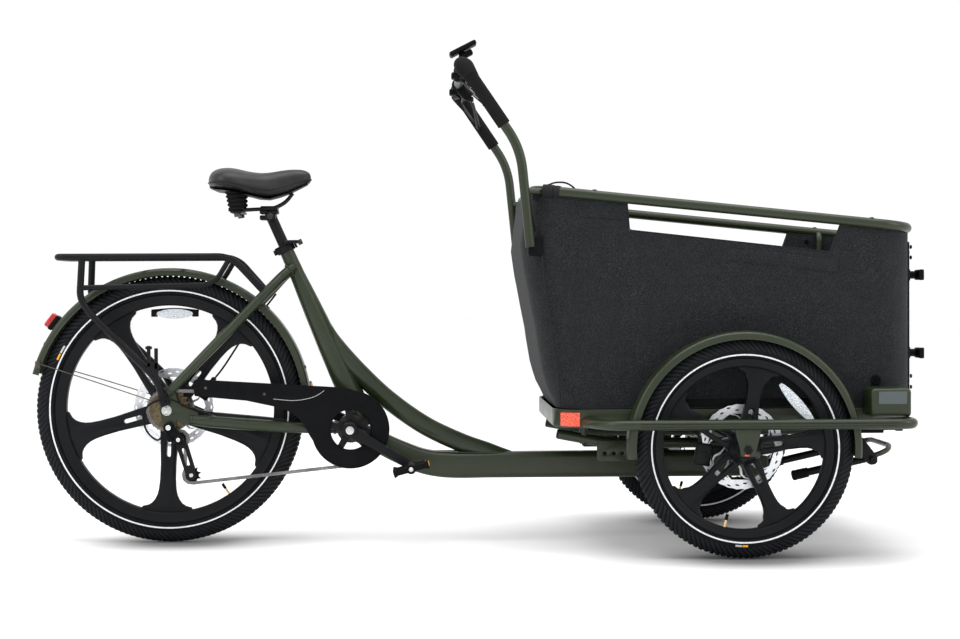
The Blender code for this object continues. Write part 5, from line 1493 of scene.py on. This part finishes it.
def felt_wave(x, z):
    """How far the felt's sides stand in or out: slow ripples and a sag above the wheel."""
    ripple = 0.0011 * math.sin(x * 17 + 1.3) * math.sin(z * 13 + x * 5) + 0.0006 * math.sin(x * 41 + z * 29)
    sag = 0.0045 * math.exp(-((z - 0.572) / 0.028) ** 2) * math.exp(-((x - 1.40) / 0.20) ** 2)
    return ripple - sag


def box_skin():
    levels = [(0.3455, 0.952), (0.365, 0.943), (0.390, 0.930), (0.415, 0.922), (0.440, 0.915),
              (0.470, 0.910), (0.500, 0.905), (0.530, 0.901), (0.560, 0.895), (0.585, 0.890),
              (0.610, 0.8855), (0.640, 0.880), (0.665, 0.875), (0.700, 0.870), (0.730, 0.866)]
    rings = []
    for z, rear in levels:
        ring = bulged(outline_points(rear, 1.790, BOX_HALF - 0.0012, 0.078), 1.790, 0.016, BOX_HALF)
        rings.append([wavy(x, y, z) for x, y in ring])
    for share in (0.35, 0.70, 1.0):
        rear = 0.866 + 0.016 * share
        ring = bulged(outline_points(rear, 1.790, BOX_HALF - 0.0012, 0.078), 1.790, 0.016, BOX_HALF)
        low = 0.730
        rings.append([wavy(x, y, low + (rail_height(x) - RAIL_RADIUS * 0.6 - low) * share)
                      for x, y in ring])
    skin = loft(rings, ends=(True, False))
    sheet = {"thickness": FELT_THICKNESS, "offset": -1.0, "use_even_offset": True}
    return evaluated(skin, [("SOLIDIFY", sheet)])


def wavy(x, y, z):
    if abs(y) > 0.24:
        y += math.copysign(felt_wave(x, z), y)
    return at(x, y, z)


def prism(outline, y0, y1):
    """A block between two y levels with an outline of (x, z)."""
    return loft([[at(x, y0, z) for x, z in outline], [at(x, y1, z) for x, z in outline]])


def door_block(margin):
    half, tall = 0.260 + margin, 0.180 + margin
    shape = [(1.755, 0.560 - tall), (1.840, 0.560 - tall), (1.840, 0.560 + tall), (1.755, 0.560 + tall)]
    return prism(shape, -half, half)


WINDOW = [(1.112, 0.880), (1.1195, 0.7665), (1.594, 0.7135), (1.618, 0.780), (1.618, 0.880)]


def cargo_box():
    shell = cut(box_skin(), prism(WINDOW, -0.5, 0.5), door_block(0.0015))
    piece("box_felt", shell, "felt", "front_carriage", "box_shell", angle=40)
    piece("door_felt", door_panel(), "felt", "front_door", "front_door", angle=40)
    trim()


def face_x(y):
    """The front face's x at y."""
    return 1.7900 + 0.016 * (1 - (y / BOX_HALF) ** 2)


def door_panel():
    """The front door: two curved faces of one grid, joined around the edge."""
    door = bmesh.new()
    count = 20
    grid = {}
    for layer, inset in enumerate((0.0, FELT_THICKNESS)):
        for i in range(count + 1):
            for k in range(13):
                y = -0.2595 + 0.519 * i / count
                z = 0.3805 + 0.359 * k / 12
                edge = 0.0015 if i in (0, count) or k in (0, 12) else 0.0
                x = face_x(y) - inset + (edge if layer else -edge)
                grid[layer, i, k] = door.verts.new(at(x, y, z))
    for layer in (0, 1):
        for i in range(count):
            for k in range(12):
                door.faces.new((grid[layer, i, k], grid[layer, i + 1, k], grid[layer, i + 1, k + 1],
                                grid[layer, i, k + 1]))
    rim_keys = ([(i, 0) for i in range(count)] + [(count, k) for k in range(12)]
                + [(i, 12) for i in range(count, 0, -1)] + [(0, k) for k in range(12, 0, -1)])
    for a, b in zip(rim_keys, rim_keys[1:] + rim_keys[:1]):
        door.faces.new((grid[0, a[0], a[1]], grid[0, b[0], b[1]], grid[1, b[0], b[1]], grid[1, a[0], a[1]]))
    return from_bmesh(door)


def trim():
    """Piping, bindings, pocket, blank patch, bolts and rivets on the felt."""
    lines = []
    for side in (-1, 1):
        seam = smooth([at(0.912, side * 0.3185, 0.722), at(0.922, side * 0.3190, 0.620),
                       at(0.940, side * 0.3190, 0.500), at(0.952, side * 0.3190, 0.410),
                       at(0.955, side * 0.3180, 0.352)], 12)
        lines.append(tube(seam, 0.0021, 8))
        corners = [at(x, side * 0.3195, z) for x, z in
                   ((1.1135, 0.838), (1.1195, 0.7665), (1.594, 0.7135), (1.6175, 0.779), (1.6185, 0.785))]
        lines.append(tube(bent(corners, 0.006, 4), 0.0012, 8))
        lines.append(tube(smooth([at(1.00, side * 0.3198, 0.7985), at(1.06, side * 0.3200, 0.7925),
                                  at(1.115, side * 0.3198, 0.7895)], 8), 0.0005, 6))
        lines.append(tube(smooth([at(1.628, side * 0.3198, 0.7200), at(1.670, side * 0.3198, 0.7150),
                                  at(1.712, side * 0.3180, 0.7140)], 8), 0.0005, 6))
    ring = bulged(outline_points(0.9515, 1.790, BOX_HALF + 0.0005, 0.078, steps=9), 1.790, 0.016, BOX_HALF)
    lines.append(tube([at(x, y, 0.3475) for x, y in ring], 0.0022, 8, cyclic=True))
    piece("box_piping", joined(*lines), "piping", "front_carriage")
    patches, bindings = [], []
    for side in (-1, 1):
        y = side * 0.3198
        patches.append(slab_between(at(1.352, y, 0.7090), at(1.612, y, 0.6800), 0.030, 0.0022))
        bindings.append(slab(at(0.8975, side * 0.3140, 0.7280), (0.034, 0.016, 0.044), bevel=0.003))
        bindings.append(slab_between(at(1.203, side * 0.3200, 0.3525), at(1.640, side * 0.3200, 0.3525),
                                     0.032, 0.0030))
        bindings.append(slab_between(at(0.884, side * 0.3260, 0.800), at(0.892, side * 0.3250, 0.762),
                                     0.014, 0.004))
    piece("box_side_patches", joined(*patches), "felt", "front_carriage")
    piece("box_side_bindings", joined(*bindings), "plastic", "front_carriage")
    fixings = []
    for side in (-1, 1):
        out = Y_AXIS * side
        for x, z, radius in ((1.701, 0.411, 0.0125), (1.154, 0.372, 0.0085)):
            washer = [(radius * 0.35, 0), (radius, 0), (radius, 0.0040), (radius * 0.72, 0.0052),
                      (radius * 0.62, 0.0030), (radius * 0.35, 0.0030)]
            fixings.append(lathe(washer, at(x, side * 0.3185, z), out, 28, cyclic=True))
            fixings.append(bolt(at(x, side * 0.3185, z), out, radius * 0.40, 0.0050))
        fixings.append(slab(at(1.701, side * 0.3195, 0.3900), (0.024, 0.0050, 0.020), bevel=0.002))
        fixings.append(bolt(at(1.668, side * 0.3092, 0.7555), -out, 0.0060, 0.0035))
    for y in (-0.250, -0.225, 0.225, 0.250):
        for z in (0.3620, 0.7120):
            fixings.append(bolt(at(face_x(y) - 0.0005, y, z), Vector((1, 0, 0)), 0.0048, 0.0040))
    for z in (0.392, 0.418, 0.700, 0.725):
        fixings.append(bolt(at(face_x(0.285) - 0.0010, -0.285, z), Vector((1, 0, 0)), 0.0048, 0.0040))
        fixings.append(bolt(at(face_x(0.285) - 0.0010, 0.285, z), Vector((1, 0, 0)), 0.0048, 0.0040))
    piece("box_fixings", joined(*fixings), "plastic", "front_carriage")
    hinges, edges = [], []
    for z in (0.450, 0.560, 0.670):
        hinges.append(rod(at(1.8040, 0.2600, z - 0.022), at(1.8040, 0.2600, z + 0.022), 0.0048))
        hinges.append(slab(at(1.8010, 0.2790, z), (0.0040, 0.032, 0.040), bevel=0.001))
    piece("door_hinges", joined(*hinges), "plastic", "front_carriage")
    corners = [at(face_x(0.2575) + 0.0004, s * 0.2575, z) for s, z in ((-1, 0.3825), (-1, 0.7375))]
    route = [corners[0], *[at(face_x(y) + 0.0006, y, 0.7375) for y in
                           [-0.2575 + 0.515 * k / 16 for k in range(17)]],
             *[at(face_x(y) + 0.0006, y, 0.3825) for y in [0.2575 - 0.515 * k / 16 for k in range(17)]]]
    edges.append(tube(route, 0.0018, 8, cyclic=True))
    piece("door_piping", joined(*edges), "piping", "front_door")


def slab_between(start, end, height, thickness):
    """A thin flat strip along a line on the side."""
    middle = (start + end) / 2
    run = end - start
    angle = math.atan2(run.z, run.x)
    return slab(middle, (run.length, thickness, height), Matrix.Rotation(-angle, 4, "Y"),
                bevel=thickness * 0.3, segments=2)


def latches():
    for name, z in (("upper_latch", 0.659), ("lower_latch", 0.472)):
        centre = at(1.7995, -0.2350, z)
        post = rod(centre - Vector((0.002, 0, 0)), centre + Vector((0.019, 0, 0)), 0.0092, steps=24)
        rosette = rod(centre - Vector((0.002, 0, 0)), centre + Vector((0.004, 0, 0)), 0.0150, steps=28)
        wing = slab(centre + Vector((0.0240, -0.014, 0)), (0.0136, 0.047, 0.025), bevel=0.0045, segments=4)
        lip = slab(centre + Vector((0.0250, -0.032, 0)), (0.0115, 0.010, 0.026), bevel=0.003)
        piece(f"{name}_handle", joined(post, rosette, wing, lip), "plastic", name, name)


def box_rail():
    outline = outline_points(RAIL_REAR[0], RAIL_FRONT[0], RAIL_HALF, 0.075, steps=12)
    ring = tube([at(x, y, rail_height(x)) for x, y in outline], RAIL_RADIUS, 24, cyclic=True)
    posts, knobs = [], []
    for x in (1.045, 1.700):
        for side in (-1, 1):
            foot = at(x, side * 0.298, 0.3560)
            knee = at(x, side * 0.298, rail_height(x) - 0.012)
            head = at(x, side * RAIL_HALF, rail_height(x) - 0.001)
            posts.append(tube(bent([foot, knee, head], 0.012), 0.0085, 16))
            top = at(x - 0.008, side * RAIL_HALF, rail_height(x) + RAIL_RADIUS - 0.0014)
            knobs.append(lathe([(0.0062, 0), (0.0064, 0.0015), (0.0050, 0.0036), (0.0022, 0.0046)], top,
                               Z_AXIS, 18))
    piece("box_rail_tube", joined(ring, *posts), "olive", "front_carriage", "box_rail")
    piece("box_rail_knobs", joined(*knobs), "olive", "front_carriage")
    wraps = []
    for side in (-1, 1):
        for x, length, radius in ((0.930, 0.013, 0.0150), (0.950, 0.007, 0.0140)):
            middle = at(x, side * (RAIL_HALF - 0.010 if x < 0.94 else RAIL_HALF - 0.004), rail_height(x))
            lean = Vector((1, side * 0.30, -0.10)).normalized()
            profile = [(radius - 0.003, -length), (radius, -length), (radius + 0.0006, 0), (radius, length),
                       (radius - 0.003, length)]
            wraps.append(lathe(profile, middle, lean, 32, cyclic=True))
        loop = smooth([at(0.928, side * 0.308, 0.873), at(0.948, side * 0.306, 0.8790),
                       at(0.972, side * 0.300, 0.8780), at(0.992, side * 0.292, 0.8660),
                       at(1.000, side * 0.286, 0.850)], 10)
        for offset in (-0.0035, 0.0, 0.0035):
            wraps.append(tube([p + Vector((0, offset, 0)) for p in loop], 0.0019, 8))
        wraps.append(slab(at(0.8975, side * 0.3010, 0.8480), (0.010, 0.008, 0.022), bevel=0.002))
    piece("box_rail_straps", joined(*wraps), "piping", "front_carriage")


def base_tray():
    rings = []
    for z, grow in ((0.3002, -0.012), (0.3008, -0.006), (0.3030, -0.0020), (0.3070, 0.0), (0.3400, 0.0),
                    (0.3440, -0.0004), (0.3450, -0.0016)):
        points = bulged(outline_points(0.940 - grow, 1.790 + grow, BOX_HALF + 0.0058 + grow, 0.075), 1.79,
                        0.018, BOX_HALF)
        rings.append([at(x, y, z) for x, y in points])
    skin = loft(rings, ends=(True, False))
    shape = evaluated(skin, [("SOLIDIFY", {"thickness": 0.0035, "offset": -1.0, "use_even_offset": True})])
    piece("tray_skin", shape, "olive", "front_carriage", "base_tray")
    for side, name in ((-1, "right"), (1, "left")):
        corner = (1.015, side * 0.2508)
        rings = []
        for k in range(13):
            a = math.radians(221 + 38 * k / 12)
            ring = []
            for r, z in ((0.0752, 0.3050), (0.0774, 0.3062), (0.0774, 0.3362), (0.0752, 0.3375)):
                ring.append(at(corner[0] + r * math.cos(a), corner[1] + side * -r * math.sin(a), z))
            rings.append(ring)
        piece(f"tray_reflector_{name}", loft(rings), "red_reflector", "front_carriage")


def bumpers():
    for side, name in ((-1, "right"), (1, "left")):
        route = bent([at(1.012, side * 0.318, BUMPER_Z), at(1.037, side * 0.392, BUMPER_Z),
                      at(1.078, side * BUMPER_Y, BUMPER_Z), at(1.765, side * BUMPER_Y, BUMPER_Z),
                      at(1.765, side * 0.318, BUMPER_Z)], 0.040, 10)
        pipe = tube(route, 0.0122, 24)
        outline = [(1.347, 0.312), (1.407, 0.312), (1.404, 0.290), (1.396, 0.262), (1.394, 0.246),
                   (1.390, 0.2425), (1.364, 0.2425), (1.360, 0.246), (1.358, 0.262), (1.350, 0.290)]
        hanger = plate([outline], side * (BUMPER_Y + 0.0002), 0.0040, 0.0008)
        piece(f"bumper_{name}_pipe", joined(pipe, hanger), "olive", "front_carriage",
              f"bumper_{name}")
        grooves = []
        for up, y_in in ((0.0030, 0.01195), (-0.0034, 0.0119)):
            line = [at(x, side * (BUMPER_Y + y_in), BUMPER_Z + up) for x in (1.13, 1.40, 1.720)]
            grooves.append(tube(line, 0.0007, 6))
        piece(f"bumper_{name}_grooves", joined(*grooves), "black", "front_carriage")
        centre = at(WHEELBASE, side * (BUMPER_Y + 0.0020), FRONT_WHEEL["outer"])
        out = Y_AXIS * side
        head = joined(nut(centre, out, 0.0105, 0.0065), bolt(centre + out * 0.0055, out, 0.0078, 0.0026))
        piece(f"axle_bolt_{name}", head, "black", "front_carriage")
        tab = slab(centre + Vector((-0.003, side * 0.0010, -0.0122)), (0.0110, 0.0016, 0.0036),
                   bevel=0.0006)
        piece(f"axle_washer_{name}", tab, "red_reflector", "front_carriage")


def light_housings():
    for side, name in ((-1, "right"), (1, "left")):
        centre = at(1.7145, side * 0.3713, 0.3620)
        body = slab(centre, (0.0948, 0.0895, 0.0676), bevel=0.0100, segments=5)
        tilt = Matrix.Rotation(math.radians(side * -4), 4, "X")
        piece(f"lamp_housing_{name}", body, "olive", "front_carriage", f"light_housing_{name}")
        face = slab(centre + Vector((0.003, side * 0.0438, 0.0010)), (0.066, 0.0024, 0.0500), tilt, 0.0011)
        piece(f"lamp_panel_{name}", face, "panel", "front_carriage")
        lens = slab(centre + Vector((0.0465, 0, 0.002)), (0.0030, 0.060, 0.034), bevel=0.0012)
        piece(f"lamp_lens_{name}", lens, "white_reflector", "front_carriage")


# ---- under the box ----
def sub_chassis():
    wheel_z = FRONT_WHEEL["outer"]
    parts = [slab(at(WHEELBASE, 0, wheel_z), (0.040, 0.650, 0.034), bevel=0.006, segments=4),
             rod(at(WHEELBASE, 0, 0.2225), at(WHEELBASE, 0, 0.2915), 0.0300, steps=40, edge=0.002)]
    ends, steel, lugs = [], [], []
    for side in (-1, 1):
        member = bent([at(0.957, side * 0.200, 0.2795), at(1.080, side * 0.200, 0.2560),
                       at(1.690, side * 0.200, 0.2560)], 0.040, 10)
        parts.append(tube(member, 0.0125, 24))
        for x in (1.020, 1.650):
            parts.append(rod(at(x, side * 0.200, 0.255), at(x, side * 0.200, 0.2997), 0.0100))
        lug = [[(1.668, 0.264), (1.698, 0.264), (1.733, 0.218), (1.733, 0.206), (1.728, 0.201),
                (1.716, 0.201), (1.668, 0.248)]]
        lugs.append(plate(lug, side * 0.200, 0.006, 0.0010))
        bracket = [[(1.051, 0.262), (1.051, 0.218), (1.056, 0.214), (1.126, 0.214), (1.131, 0.219),
                    (1.131, 0.262)], circle((1.070, 0.232), 0.0055, 12), circle((1.092, 0.232), 0.0055, 12),
                   circle((1.112, 0.232), 0.0055, 12)]
        parts.append(plate(bracket, side * 0.212, 0.004, 0.0006))
        parts.append(rod(at(WHEELBASE, side * 0.312, wheel_z), at(WHEELBASE, side * 0.344, wheel_z),
                         0.0110))
        steel.append(rod(at(WHEELBASE, side * 0.340, wheel_z), at(WHEELBASE, side * 0.4420, wheel_z),
                         0.0059))
        ends.append(rod(at(0.9545, side * 0.200, 0.2800), at(0.962, side * 0.200, 0.2785), 0.0106))
    piece("chassis_frame", joined(*parts), "olive", "front_carriage", "sub_chassis")
    piece("chassis_axles", joined(*steel), "steel", "front_carriage")
    piece("chassis_plugs", joined(*ends), "plastic", "front_carriage")
    piece("chassis_lugs", joined(*lugs), "black", "front_carriage")
    wires = []
    for side in (-1, 1):
        route = smooth([at(1.640, side * 0.230, 0.292), at(1.690, side * 0.262, 0.286),
                        at(1.735, side * 0.255, 0.2885), at(1.770, side * 0.200, 0.292)], 10)
        wires.append(tube(route, 0.0026, 10))
        wires.append(slab(at(1.690, side * 0.290, 0.2905), (0.070, 0.020, 0.014), bevel=0.002))
        wires.append(slab(at(1.745, side * 0.225, 0.2930), (0.070, 0.050, 0.0130), bevel=0.002))
        wires.append(rod(at(1.772, side * 0.225, 0.2880), at(1.789, side * 0.225, 0.2880), 0.0055))
    piece("chassis_cables", joined(*wires), "plastic", "front_carriage")


def front_calipers():
    for side, name in ((-1, "right"), (1, "left")):
        y = side * (TRACK_HALF - 0.0357)
        turn = Matrix.Rotation(math.radians(10), 4, "Y")
        parts = [slab(at(1.288, y + s * 0.0072, 0.240), (0.036, 0.0094, 0.052), turn, bevel=0.004)
                 for s in (-1, 1)]
        parts.append(slab(at(1.274, y, 0.240), (0.012, 0.022, 0.046), turn, bevel=0.003))
        parts.append(slab(at(1.318, side * 0.3310, 0.2500), (0.088, 0.0076, 0.016), bevel=0.002))
        parts.append(bolt(at(1.288, y + side * 0.0118, 0.240), Y_AXIS * side, 0.0085, 0.0022))
        parts.append(rod(at(1.282, y, 0.264), at(1.279, y, 0.284), 0.0050))
        piece(f"front_caliper_{name}_body", joined(*parts), "black", "front_carriage",
              f"front_caliper_{name}")
        hose = smooth([at(1.279, y, 0.282), at(1.262, y, 0.296), at(1.238, side * 0.318, 0.2930),
                       at(1.215, side * 0.270, 0.2900), at(1.180, side * 0.215, 0.2905)], 10)
        piece(f"front_brake_hose_{name}", tube(hose, 0.0025, 10), "foam", "front_carriage")


def stand():
    x, z = 1.722, 0.212
    parts = [rod(at(x, -0.215, z), at(x, 0.215, z), 0.0079)]
    feet = []
    for side in (-1, 1):
        foot, knee = at(1.535, side * 0.160, 0.1700), at(x, side * 0.160, z)
        parts.append(tube([knee, foot], 0.0095, 20))
        sleeve = foot.lerp(knee, 0.20) - foot
        profile = [(0.0100, -0.001), (0.0125, 0.0015), (0.0130, 0.006), (0.0120, 0.010), (0.0125, 0.014),
                   (0.0120, sleeve.length), (0.0096, sleeve.length)]
        feet.append(lathe(profile, foot, sleeve.normalized(), 24))
        parts.append(rod(at(x, side * 0.185, z), at(x, side * 0.194, z), 0.0140))
    loop = bent([at(x, -0.150, z), at(1.770, -0.146, 0.2270), at(1.790, -0.100, 0.2370),
                 at(1.790, 0.100, 0.2370), at(1.770, 0.146, 0.2270), at(x, 0.150, z)], 0.030, 8)
    piece("stand_loop", tube(loop, 0.0066, 16), "olive", "front_stand")
    piece("stand_frame", joined(*parts), "black", "front_stand", "front_stand")
    piece("stand_feet", joined(*feet), "foam", "front_stand")


# ---- handlebar ----
def bar_half():
    y = -0.325
    return bent([at(0.886, y, 0.727), at(0.863, y, 0.958), at(0.727, y + 0.010, 1.160),
                 at(0.727, 0, 1.160)], 0.050, 12)


def handlebar():
    half = bar_half()
    route = half[:-1] + list(reversed(mirrored(half[:-1])))
    parts = [tube(route, 0.0115, 24)]
    clamps = []
    for side in (-1, 1):
        parts.append(rod(at(0.876, side * 0.3220, 0.8580), at(0.925, side * 0.3000, 0.8580), 0.0075))
        clamp = at(0.727, side * 0.1500, 1.1600)
        clamps.append(rod(clamp - Y_AXIS * 0.010, clamp + Y_AXIS * 0.010, 0.0168, steps=28, edge=0.002))
        clamps.append(slab(clamp + Vector((0.018, 0, -0.020)), (0.030, 0.022, 0.036),
                           Matrix.Rotation(math.radians(-45), 4, "Y"), bevel=0.006, segments=4))
        clamps.append(rod(clamp + Vector((0.004, side * 0.020, -0.022)),
                          clamp + Vector((-0.010, side * 0.060, -0.026)), 0.0095, 0.0075, 20))
        clamps.append(slab(clamp + Vector((-0.008, side * 0.030, -0.016)), (0.030, 0.034, 0.016),
                           bevel=0.004))
        clamps.append(rod(clamp + Vector((0, side * 0.026, 0)), clamp + Vector((0, side * 0.062, 0)),
                          0.0148, steps=28, edge=0.0015))
    piece("handlebar_tube", joined(*parts), "olive", "front_carriage", "handlebar")
    piece("lever_clamps", joined(*clamps), "plastic", "front_carriage")
    low = next(i for i, p in enumerate(half) if p.z > 1.00)
    start = half[low - 1].lerp(half[low], 0.12)
    grip_line = [start, *half[low:-1], Vector((half[-1].x, -0.165, half[-1].z))]
    for name, points in (("right", grip_line), ("left", mirrored(grip_line))):
        dense = smooth(points, 2)
        ahead = (dense[1] - dense[0]).normalized()
        dense = [dense[0] - ahead * 0.0004, dense[0] + ahead * 0.001, *dense[1:]]
        bend_y = dense[-1].y * 1.86
        radii = [0.0158 + 0.0070 * max(0.0, 1 - abs(p.z - 1.150) / 0.035 - abs(p.y - bend_y) / 0.10)
                 for p in dense]
        radii[0], radii[-1] = 0.0138, 0.0140
        piece(f"grip_{name}_foam", tube(dense, radii, 28), "foam", "front_carriage", f"grip_{name}")
    levers()
    display()
    cables()


def levers():
    for name, side in (("right", -1), ("left", 1)):
        pivot = at(0.756, side * 0.1500, 1.1280)
        route = smooth([pivot + Vector((0.004, side * 0.012, -0.004)), at(0.768, side * 0.195, 1.108),
                        at(0.775, side * 0.240, 1.088), at(0.782, side * 0.288, 1.066)], 8)
        rings = []
        for i, point in enumerate(route):
            share = i / (len(route) - 1)
            wide = 0.0058 - 0.0012 * math.sin(share * math.pi) + 0.0010 * share
            rings.append([point + Vector((u * 0.8, 0, v * 1.1)) for u, v in circle((0, 0), wide, 16)])
        blade = loft(rings)
        tip = lathe([(0.0020, 0), (0.0060, 0.002), (0.0070, 0.006), (0.0055, 0.011), (0.0020, 0.013)],
                    route[-1] - (route[-1] - route[-2]).normalized() * 0.004,
                    (route[-1] - route[-2]).normalized(), 18)
        knuckle = slab(pivot + Vector((0.004, side * 0.010, -0.004)), (0.014, 0.016, 0.014), bevel=0.004)
        body = f"brake_lever_{name}"
        piece(f"brake_blade_{name}", joined(blade, tip, knuckle), "black", body, body)
        pin = rod(pivot + Vector((-0.006, side * 0.008, 0.006)),
                  pivot + Vector((0.012, side * 0.008, -0.012)), 0.0026)
        piece(f"brake_pin_{name}", pin, "steel", body)


def display():
    middle = at(0.734, -0.1000, 1.2200)
    turn = Matrix.Rotation(math.radians(-27), 4, "Y")
    case = slab(middle, (0.0718, 0.0518, 0.0118), turn, bevel=0.0040, segments=4)
    stem = [rod(at(0.7275, -0.100, 1.1700), at(0.732, -0.100, 1.2150), 0.0068),
            slab(at(0.742, -0.100, 1.2060), (0.034, 0.030, 0.014), turn, bevel=0.004),
            rod(at(0.727, -0.1085, 1.160), at(0.727, -0.0915, 1.160), 0.0152, steps=28, edge=0.0015),
            bolt(at(0.742, -0.100, 1.164), Vector((1, 0, 0.2)).normalized(), 0.0040, 0.0035)]
    piece("display_case", joined(case, *stem), "plastic", "front_carriage", "display")
    up = turn.to_3x3() @ Z_AXIS
    glass = slab(middle + up * 0.0054, (0.0600, 0.0420, 0.0016), turn, bevel=0.0007)
    piece("display_glass", glass, "gloss", "front_carriage")


def cables():
    """Brake and gear cables from the levers round to the upright, held at both ends."""
    bright, dark = [], []
    for side in (-1, 1):
        for k, drop in enumerate((0.030, 0.042, 0.054)):
            start = at(0.742 + 0.004 * k, side * 0.175, 1.138 - 0.006 * k)
            route = smooth([start, at(0.738, side * 0.215, 1.132 - drop * 0.35),
                            at(0.756, side * 0.262, 1.112 - drop * 0.45),
                            at(0.780, side * 0.300, 1.078 - drop * 0.30),
                            at(0.802, side * 0.318, 1.040)], 10)
            (bright if k < 2 else dark).append(tube(route, 0.0017, 8))
    piece("lever_cables_bright", joined(*bright), "dark_steel", "front_carriage")
    piece("lever_cables_dark", joined(*dark), "foam", "front_carriage")


add_camera()
make_looks()
add_studio()
add_floor()
rear_wheel()
front_wheel(-1, "front_right", "front_right_wheel")
front_wheel(1, "front_left", "front_left_wheel")
rear_fender()
front_fenders()
rear_triangle()
beam()
rack()
cassette()
rear_axle()
chain()
crankset()
chain_guard()
derailleur()
rear_caliper()
seat()
saddle()
seat_clamp()
rear_light()
cargo_box()
latches()
box_rail()
base_tray()
bumpers()
light_housings()
sub_chassis()
front_calipers()
stand()
handlebar()
